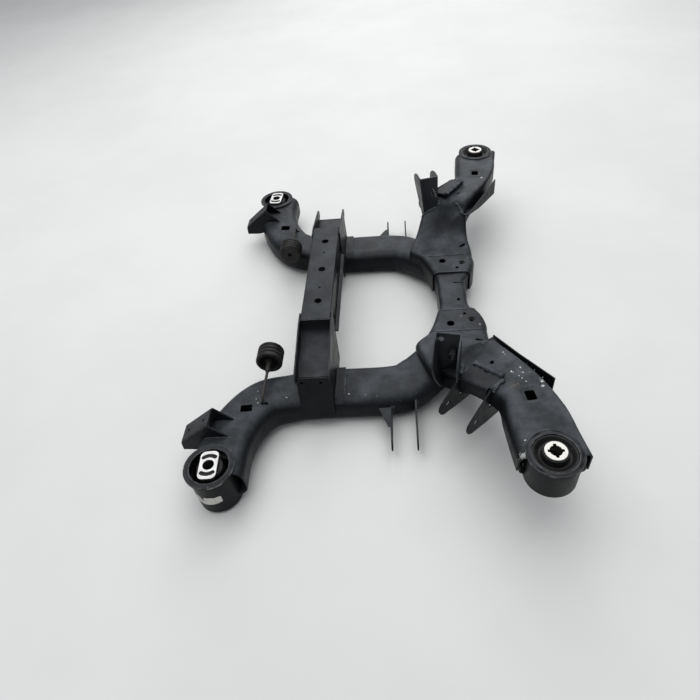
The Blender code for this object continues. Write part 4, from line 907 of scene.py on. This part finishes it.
def add_crossmember():
    """The crossmember's middle and lower shells and its two raised end shells."""
    tubes = [tube_cutter(side) for side, _ in SIDES]
    reach = CROSS_END_START + CROSS_LAP
    middle = grid_object("cross_middle_skin", cross_points(-reach, reach, SHEET + NEST, 90))
    thicken(middle)
    cut(middle, hole_cutter(1, *CROSS_HOLE, CROSS_TOP), slot_cutter(1, *CROSS_SLOT, CROSS_TOP, 0.03, 0.001))
    reach = CROSS_HALF_LENGTH - CLEAR
    lower = grid_object("cross_pan_skin", cross_points(-reach, reach, 2 * (SHEET + NEST), 120, False))
    thicken(lower)
    cut(lower, *(hole_cutter(side, 0.2, 0.09, DRAIN, CROSS_BOTTOM) for side, _ in SIDES), *tubes, keep=tubes)
    for item, node in ((middle, "crossmember_middle"), (lower, "crossmember_lower")):
        show(round_edges(item), [node], COATING)
    for side, name in SIDES:
        item = grid_object("cross_end_skin_" + name, cross_points(CROSS_END_START, reach, 0.0, 50), side=side)
        thicken(item)
        cut(item, *(hole_cutter(side, *hole, CROSS_TOP) for hole in END_HOLES), *tubes, keep=tubes)
        show(round_edges(item), ["crossmember_end_" + name], COATING)
    drop(*tubes)


def add_collars():
    """Short collars under the beam's holes, and a sleeve behind each link bracket's lower hole."""
    for index, (place, inner) in enumerate(BEAM_HOLES):
        outer = inner + COLLAR_WALL
        corners = [(inner, COLLAR_LOW), (outer, COLLAR_LOW), (outer, COLLAR_HIGH), (inner, COLLAR_HIGH)]
        outline = soften(corners, 0.0004, 2)
        item = turned("hole_collar_%d" % index, outline, (BEAM_HOLE_X, place, BEAM_TOP), 1, 48)
        show(item, [], COATING)
    outline = soften([(0.0058, 0.0029), (0.0086, 0.0029), (0.0086, 0.0185), (0.0058, 0.0185)], 0.0006, 2)
    x, y = from_corner(UPPER, LINK_HOLE_SHARE * UPPER_WIDTH, 0.0)
    for side, name in SIDES:
        item = turned("link_sleeve_" + name, outline, (0, 0, 0), 1, 48, lying=True)
        turn = side * UPPER[2] + (0 if side > 0 else 180)
        item.data.transform(Matrix.Translation((x, side * y, LINK_HOLE_HEIGHT))
                            @ Matrix.Rotation(np.radians(turn), 4, "Z"))
        show(item, [], COATING)


def add_folded_pieces():
    """Folded and plain pieces keep the form of their solids, with rounded edges marked for wear and painted
    highlight.
    """
    kinds = ("beam_bracket", "beam_bracket_floor", "upper_link_bracket", "arm_clevis", "front_link_bracket",
             "lower_link_ear_flanged", "lower_link_ear_plain", "guard_plate")
    for node in ["cross_beam"] + [kind + "_" + name for kind in kinds for _, name in SIDES]:
        item = solid_copy(node, "worn_" + node)
        if node == "cross_beam":
            cut(item, *(hole_cutter(1, BEAM_HOLE_X, place, radius, BEAM_TOP) for place, radius in BEAM_HOLES))
        show(round_edges(item, 0.0009), [node], LIT_LINK_COATING if "upper_link" in node else BRACKET_COATING)
    for _, name in SIDES:
        item = round_edges(solid_copy("weld_nut_" + name, "worn_weld_nut_" + name), 0.0004)
        show(item, ["weld_nut_" + name], RUSTY_METAL)


def can_outline(low, seat, flange):
    """Closed (radius, height) outline of a can: wall, flange on the seat and lip over the rubber."""
    outer, lip, rise = flange
    top, inner, seat = seat + rise, CAN_RADIUS - CAN_WALL, seat + CLEAR
    fold = lip + CAN_WALL / 2
    return soften([(inner, low), (CAN_RADIUS, low), (CAN_RADIUS, seat), (outer, seat), (outer, top),
                   ((outer + CAN_RADIUS) / 2, top), (CAN_RADIUS - 0.001, top - 0.0006), (fold + 0.002, top),
                   (lip, top), (lip, top - CAN_WALL), (inner, top - CAN_WALL)], 0.0009, 3)


def paint_rim_highlight(item, centre, flange, seat):
    """Marks the rim's two upper edges of a can with a painted highlight, by bells of the distance from each
    edge's ring.
    """
    places = np.empty(len(item.data.vertices) * 3)
    item.data.vertices.foreach_get("co", places)
    places = places.reshape(-1, 3)
    radius = np.hypot(places[:, 0] - centre[0], places[:, 1] - centre[1])
    outer, lip, rise = flange
    wear_and_highlight = np.maximum(hill(radius - outer + 0.0003, 0.0007), 0.8 * hill(radius - lip - 0.0004, 0.0007))
    wear_and_highlight *= smooth_step((places[:, 2] - seat - rise + 0.0016) / 0.001)
    layer = item.data.attributes.new("wear_and_highlight", "FLOAT", "POINT")
    layer.data.foreach_set("value", wear_and_highlight.astype(np.float32))


def crimp(seat, depth):
    """A change for a can: above the seat the rim is nipped, by the depth times broken waves of the angle."""
    def change(radius, height, angle):
        on_rim = smooth_step((height - seat - 0.0005) / 0.001)
        wave = 0.5 + 0.5 * np.sin(9 * angle + 1.6 * np.sin(2 * angle) + 0.7)
        broken = smooth_step(1.6 * wave - 0.3) * (0.6 + 0.4 * np.sin(3 * angle + 1))
        groove = hill(radius - CAN_RADIUS + 0.0012, 0.0011)
        nipped = radius - 0.35 * depth * wave * on_rim * (radius > CAN_RADIUS)
        return nipped, height - depth * groove * broken * on_rim
    return change


def add_slotted_bush(side, name):
    """Front bush: can with its crimped rim, rubber with kidney voids and wings, and the slotted core."""
    x, y = SLOTTED_BUSH
    centre = (x, y, 0)
    can = turned("slotted_can_" + name, can_outline(SLOTTED_LOW, SLOTTED_SEAT, SLOTTED_FLANGE), centre, side,
                 change=crimp(SLOTTED_SEAT, 0.0005))
    notch = (x - SLOTTED_FLANGE[0] - 0.0006, side * (y + 0.004), SLOTTED_SEAT + 0.004)
    cut(can, drum(notch, 0.0024, 0.01, 20))
    paint_rim_highlight(can, (x, side * y), SLOTTED_FLANGE, SLOTTED_SEAT)
    show(can, ["slotted_bush_can_" + name], CAN_COATING)
    fit, bore = CAN_RADIUS - CAN_WALL - CLEAR, CORE_RING + CLEAR
    low, top = SLOTTED_LOW + 0.012, CORE_LOW - CLEAR
    sunk = top - 0.014
    outline = soften([(bore, low), (fit, low), (fit, sunk), (fit - 0.004, sunk - 0.002),
                      (bore + 0.016, sunk - 0.001), (bore + 0.011, top - 0.006), (bore + 0.010, top),
                      (bore, top)], 0.0025, 4)

    def winged(radius, height, angle):
        raised = smooth_step((height - sunk + 0.006) / 0.004) * smooth_step((radius - bore - 0.011) / 0.004)
        wing = 0.0075 * np.clip(np.cos(2 * angle - 0.5), 0, 1) ** 2 * smooth_step((fit - radius) / 0.006)
        return radius, height + wing * raised

    rubber = turned("slotted_rubber_" + name, outline, centre, side, change=winged)
    middle = (bore + fit) / 2 + 0.003
    cut(rubber, *(prism("cutter", kidney(middle - 0.005, middle + 0.006, start, 96) + [x, y], low - 0.01,
                        top + 0.01, side) for start in (-48, 132)))
    round_edges(rubber, 0.0005, 50)
    show(rubber, ["slotted_bush_rubber_" + name], BUSH_RUBBER, 50)

    def in_slots(inner, outer, inset, low, high):
        """Kidneys in both slots between two radii and heights, each end drawn in by the inset in degrees."""
        outlines = [kidney(inner, outer, start + inset, 66 - 2 * inset) for start in (57, 237)]
        return [prism("cutter", turn_plan(outline, -CORE_TURN) + [x, y], low, high, side)
                for outline in outlines]

    plate = prism("slotted_core_" + name, turn_plan(rounded_plate(0.0345, 0.0575, 0.009, 0.00125), -CORE_TURN)
                  + [x, y], CORE_LOW, CORE_HIGH, side)
    ring = drum((x, side * y, (CORE_FOOT + CORE_LOW) / 2 + 0.002), CORE_RING,
                CORE_LOW - CORE_FOOT + 0.004, 64)
    combine(plate, ring, "UNION")
    cut(plate, drum((x, side * y, 0.05), CORE_BORE, 0.2, 64),
        *in_slots(0.0156, 0.0240, 0, CORE_LOW + 0.004, CORE_HIGH + 0.004))
    drop(ring)
    show(round_edges(plate, 0.0009), ["slotted_bush_core_" + name], PALE_METAL)
    floors = in_slots(0.0160, 0.0236, 1, CORE_LOW + 0.0039, CORE_LOW + 0.0052)
    show(joined("slot_rubber_" + name, floors), [], BUSH_RUBBER)


def sleeve_bore(angle):
    """Radius of the notched bore: the larger of the bore and each notch, a strip that ends at its reach."""
    near = (angle + np.pi / 4) % (np.pi / 2) - np.pi / 4
    strip = np.minimum(NOTCH_REACH / np.cos(near), NOTCH_HALF / np.maximum(np.abs(np.sin(near)), 1e-6))
    return np.maximum(SLEEVE_BORE, strip)


def add_round_bush(side, name):
    """Rear bush: can with its crimped rim, dished rubber and the sleeve with its four-notched bore."""
    x, y = ROUND_BUSH
    can = turned("round_can_" + name, can_outline(ROUND_LOW, ROUND_SEAT, ROUND_FLANGE), (x, y, 0), side,
                 change=crimp(ROUND_SEAT, 0.0016))
    paint_rim_highlight(can, (x, side * y), ROUND_FLANGE, ROUND_SEAT)
    show(can, ["round_bush_can_" + name], CAN_COATING)
    fit, bore, reach = CAN_RADIUS - CAN_WALL - CLEAR, SLEEVE_RADIUS + CLEAR, ROUND_FLANGE[1] - CLEAR
    low, under, rim, dish, collar = ROUND_LOW + 0.008, 0.1781, 0.1795, 0.1715, 0.1855
    outline = soften([(bore, low), (fit - 0.006, low), (fit, ROUND_LOW + 0.014), (fit, under), (reach, under),
                      (reach, rim), (reach - 0.003, rim), (reach - 0.009, dish), (bore + 0.004, dish),
                      (bore + 0.003, collar), (bore, collar)], 0.0016, 4)

    def faceted(radius, height, angle):
        slope = smooth_step((rim + 0.0002 - height) / 0.006) * (radius > bore + 0.006) * (radius < reach)
        slope *= smooth_step((height - dish + 0.001) / 0.003)
        return radius - 0.0035 * slope * hill((angle - 2.9 + np.pi) % (2 * np.pi) - np.pi, 0.5), height

    rubber = turned("round_rubber_" + name, outline, (x, y, 0), side, change=faceted)
    show(rubber, ["round_bush_rubber_" + name], BUSH_RUBBER, 45)
    low, top = ROUND_LOW - 0.004, ROUND_SEAT + 0.009
    outline = soften([(SLEEVE_BORE, low), (SLEEVE_RADIUS, low), (SLEEVE_RADIUS, top), (SLEEVE_BORE, top),
                      (SLEEVE_BORE, top - 0.012), (SLEEVE_BORE - 0.00002, top - 0.0122)], 0.0005, 3)

    def notched(radius, height, angle):
        inside = smooth_step((SLEEVE_BORE + 0.0011 - radius) / 0.001) * (height > top - 0.0121)
        return radius + (sleeve_bore(angle) - SLEEVE_BORE) * inside, height

    sleeve = turned("round_sleeve_" + name, outline, (x, y, 0), side, 256, notched)
    show(sleeve, ["round_bush_sleeve_" + name], POWDER_METAL)


def add_hanger(side, name):
    """Exhaust hanger: a ribbed drum, and the rod that runs out of it and bends down into the tube."""
    x, y, z = HANGER
    edge, bore, half = HANGER_RADIUS, HANGER_STUD + CLEAR, HANGER_HALF
    outline = [(bore, -half), (edge - 0.003, -half), (edge, -half + 0.003)]
    for rib in range(3):
        start = -half + 2 * half * (rib + 0.7) / 4
        outline += [(edge, start - 0.0004), (edge - 0.0028, start + 0.0012), (edge - 0.0028, start + 0.0028),
                    (edge, start + 0.0044)]
    outline += [(edge, half - 0.002), (edge - 0.002, half), (edge - 0.007, half),
                (edge - 0.009, half - 0.011), (bore + 0.005, half - 0.011), (bore + 0.003, half - 0.002),
                (bore, half - 0.002)]
    rubber = turned("ribbed_drum_" + name, soften(outline, 0.0012, 3), (x, y, z), side, lying=True)
    show(rubber, ["hanger_rubber_" + name], HANGER_RUBBER, 50)
    foot_y, foot_z = HANGER_FOOT
    shoulder = y + half + 0.025
    bend = np.radians(np.linspace(90, 0, 14))
    rows = [(y - half + 0.006, z, 0.0002), (y - half + 0.006, z, HANGER_STUD),
            (shoulder - 0.0012, z, HANGER_STUD), (shoulder, z, HANGER_STUD - 0.001),
            (shoulder + 0.0005, z, HANGER_ROD), (foot_y - 0.03, z, HANGER_ROD)]
    rows += [(foot_y - HANGER_BEND + HANGER_BEND * np.cos(turn), z - HANGER_BEND + HANGER_BEND * np.sin(turn),
              HANGER_ROD) for turn in bend]
    rows = np.array(rows + [(foot_y, foot_z, HANGER_ROD), (foot_y, foot_z, 0.0002)])
    run = np.gradient(rows[:, :2], axis=0)
    run[0] = run[1] = (1, 0)
    run[-1] = run[-2] = (0, -1)
    run /= np.linalg.norm(run, axis=1)[:, None]
    angle = np.linspace(0, 2 * np.pi, 28, endpoint=False)[None, :]
    radius = rows[:, 2:]
    points = np.stack([x + radius * np.cos(angle), rows[:, :1] - radius * np.sin(angle) * run[:, 1:],
                       rows[:, 1:2] + radius * np.sin(angle) * run[:, :1]], axis=2)
    rod = grid_object("bent_rod_" + name, points, around=True, ends=True, side=side)
    show(rod, ["hanger_rod_" + name], RUSTY_METAL)


def from_corner(piece, along, out):
    """Plan place at a step along a piece's line and a step out to its left, from (x, y, turn from x)."""
    x, y, degrees = piece
    turn = np.radians(degrees)
    return x + (along * np.cos(turn) - out * np.sin(turn)), y + (along * np.sin(turn) + out * np.cos(turn))


def add_welds():
    """Weld beads where the brackets, saddles, ears and shells meet, with drops of spatter near them."""
    tree = surface_tree(["tube_skin_left", "arm_shell_left", "cross_end_skin_left", "cross_middle_skin"])
    draw = np.random.default_rng(11)

    def fall(start, end, count, height=0.12):
        """Places on a straight line in plan, let down onto the surfaces."""
        return rest_on(tree, np.linspace((*start, height), (*end, height), count))

    def seam(piece, first, last):
        """Places between two (along, out) steps from a piece's corner, let down onto the surfaces."""
        return fall(from_corner(piece, *first), from_corner(piece, *last), 30, 0.2)

    foot, back = BEAM_X + SADDLE_WALL + SADDLE_FOOT, BEAM_X - SADDLE_WALL - 0.0005
    beyond, lap, root = UPPER_WIDTH + 0.0036, CROSS_END_START + 0.0004, CROSS_HALF_LENGTH - 0.0008
    roof = [(*from_corner(CLEVIS, along, -CLEVIS_BACK - 0.001), 0.1755 + 0.17 * along)
            for along in np.linspace(-0.0335, 0.0340, 30)]
    wall = seam(CLEVIS, (CLEVIS_HALF, -CLEVIS_BACK), (CLEVIS_HALF, -0.040))
    ridge = ((0.2300, 0.2640, 0.2), (0.2365, 0.2572, 0.2), (0.2426, 0.2459, 0.2), (0.2480, 0.2380, 0.2))
    lines = [
        (0.0026, fall((foot, 0.225), (foot, 0.290), 20, 0.1)),
        (0.0024, fall((back, 0.212), (back, 0.302), 24, 0.1)),
        (0.0016, fall((-0.318, 0.3615), (-0.262, 0.3615), 16)),
        (0.0016, fall((-0.318, 0.4095), (-0.262, 0.4095), 16)),
        (0.0050, seam(UPPER, (beyond, -0.002), (beyond, 0.032))),
        (0.0028, seam(UPPER, (0.004, -0.0012), (UPPER_WIDTH, -0.0012))),
        (0.0026, seam(UPPER, (0.0112, 0.0), (0.0112, 0.024))),
        (0.0050, roof),
        (0.0042, [(x, y, z + 0.0024) for x, y, z in wall]),
        (0.0016, fall((0.162, lap), (0.246, lap), 30)),
        (0.0017, fall((0.150, root), (0.252, root), 40)),
        (0.0028, rest_on(tree, ridge)),
    ]
    first_on_wall = len(lines)
    for ear_x in EARS_X:
        for edge in (-0.0021, 0.0021):
            places = [(ear_x + edge, 0.33, height) for height in np.linspace(0.014, 0.046, 14)]
            lines.append((0.0022, rest_on(tree, places, (0, -1, 0), 0.06)))
    near = np.array([place for _, line in lines for place in line[::3]])
    picks = near[draw.integers(0, len(near), 150)] + draw.normal(0, 0.009, (150, 3)) * [1, 1, 0]
    drops = np.array(rest_on(tree, [(a, b, c + 0.02) for a, b, c in picks], reach=0.03))
    sizes = draw.uniform(0.0004, 0.0014, len(drops))
    for side, name in SIDES:
        items = [spatter("drops", drops, sizes, side)]
        for index, (radius, line) in enumerate(lines):
            if len(line) > 1:
                upright = index >= first_on_wall and abs(line[0][2] - line[-1][2]) > 0.02
                items.insert(-1, bead("bead", line, radius, (0, 1, 0) if upright else (0, 0, 1), side))
        show(joined("weld_beads_" + name, items), [], WELD_COATING_WITH_HIGHLIGHT, angle=60)


def add_label():
    """Bare paper label on the near front can: a patch of the can's wall with a torn upper edge.

    The angle goes with u and the height with v between the lower edge 0.0325 + 0.009 u^2 and the upper edge
    0.0580 - 0.014 exp(-((u - 0.26) / 0.06)^2) + 0.0006 sin 23u.
    """
    u, v = np.meshgrid(np.linspace(0, 1, 60), np.linspace(0, 1, 24))
    low = 0.0325 + 0.009 * u ** 2
    high = 0.0580 - 0.014 * hill(u - 0.26, 0.06) + 0.0006 * np.sin(23 * u)
    angle = np.radians(-130 + 67 * u)
    radius = CAN_RADIUS + 0.0003
    points = np.stack([SLOTTED_BUSH[0] + radius * np.cos(angle), -SLOTTED_BUSH[1] + radius * np.sin(angle),
                       low + (high - low) * v], axis=2)
    label = grid_object("paper_label", points)
    first = label.data.polygons[0]
    if first.normal.dot(first.center - Vector((SLOTTED_BUSH[0], -SLOTTED_BUSH[1], 0))) < 0:
        label.data.flip_normals()
    thicken(label, 0.0002)
    settle(label)
    show(label, [], LABEL_PAPER)


def add_stage():
    """Pale floor, soft overhead light and the camera at the photograph's angle."""
    floor_mesh = bmesh.new()
    bmesh.ops.create_grid(floor_mesh, x_segments=2, y_segments=2, size=14)
    floor = mesh_object("floor", floor_mesh)
    material, tree, shader, place = new_material("pale_floor")
    tone = mix(tree, grain(tree, place, 1.5, 0.3, 0.7), (0.60, 0.60, 0.59), (0.64, 0.64, 0.63))
    fill(tree, shader, {"Base Color": tone, "Roughness": 0.9})
    floor.data.materials.append(material)
    floor.location.z = -0.0004
    for place, size, power in (((-0.3, 0.4, 3.4), 4.0, 108), ((0.3, 3.6, 2.3), 3.0, 62)):
        lamp = bpy.data.lights.new("soft_light", "AREA")
        lamp.size = size
        lamp.energy = power
        item = in_scene("soft_light", lamp)
        item.location = place
        item.rotation_mode = "QUATERNION"
        item.rotation_quaternion = (-Vector(place)).to_track_quat("-Z", "Y")
    world = bpy.data.worlds.new("studio")
    world.use_nodes = True
    tree = world.node_tree
    place = put(tree, "ShaderNodeTexCoord").outputs["Generated"]
    height = put(tree, "ShaderNodeSeparateXYZ", {0: place}).outputs["Z"]
    strength = mix(tree, between(tree, height, 0.0, 0.7), 0.16, 0.58)
    seen = put(tree, "ShaderNodeLightPath").outputs["Is Camera Ray"]
    fill(tree, tree.nodes["Background"], {"Color": (0.93, 0.96, 1.0, 1),
                                          "Strength": mix(tree, seen, strength, 0.80)})
    bpy.context.scene.world = world
    camera = in_scene("camera", bpy.data.cameras.new("camera"))
    camera.data.lens = 28.21
    camera.data.sensor_width = 36
    camera.data.clip_start = 0.05
    right, up, back = (0.99419, 0.03791, -0.10081), (0.04419, 0.71002, 0.70279), (0.09822, -0.70316, 0.70422)
    turn = Matrix((right, up, back)).transposed().to_4x4()
    camera.matrix_world = Matrix.Translation((0.08, -1.03, 0.939)) @ turn
    bpy.context.scene.camera = camera
    bpy.context.scene.view_settings.view_transform = "Standard"


add_stage()
add_tubes()
add_arms()
add_crossmember()
add_collars()
add_folded_pieces()
for bush_side, bush_name in SIDES:
    add_slotted_bush(bush_side, bush_name)
    add_round_bush(bush_side, bush_name)
    add_hanger(bush_side, bush_name)
add_welds()
add_label()
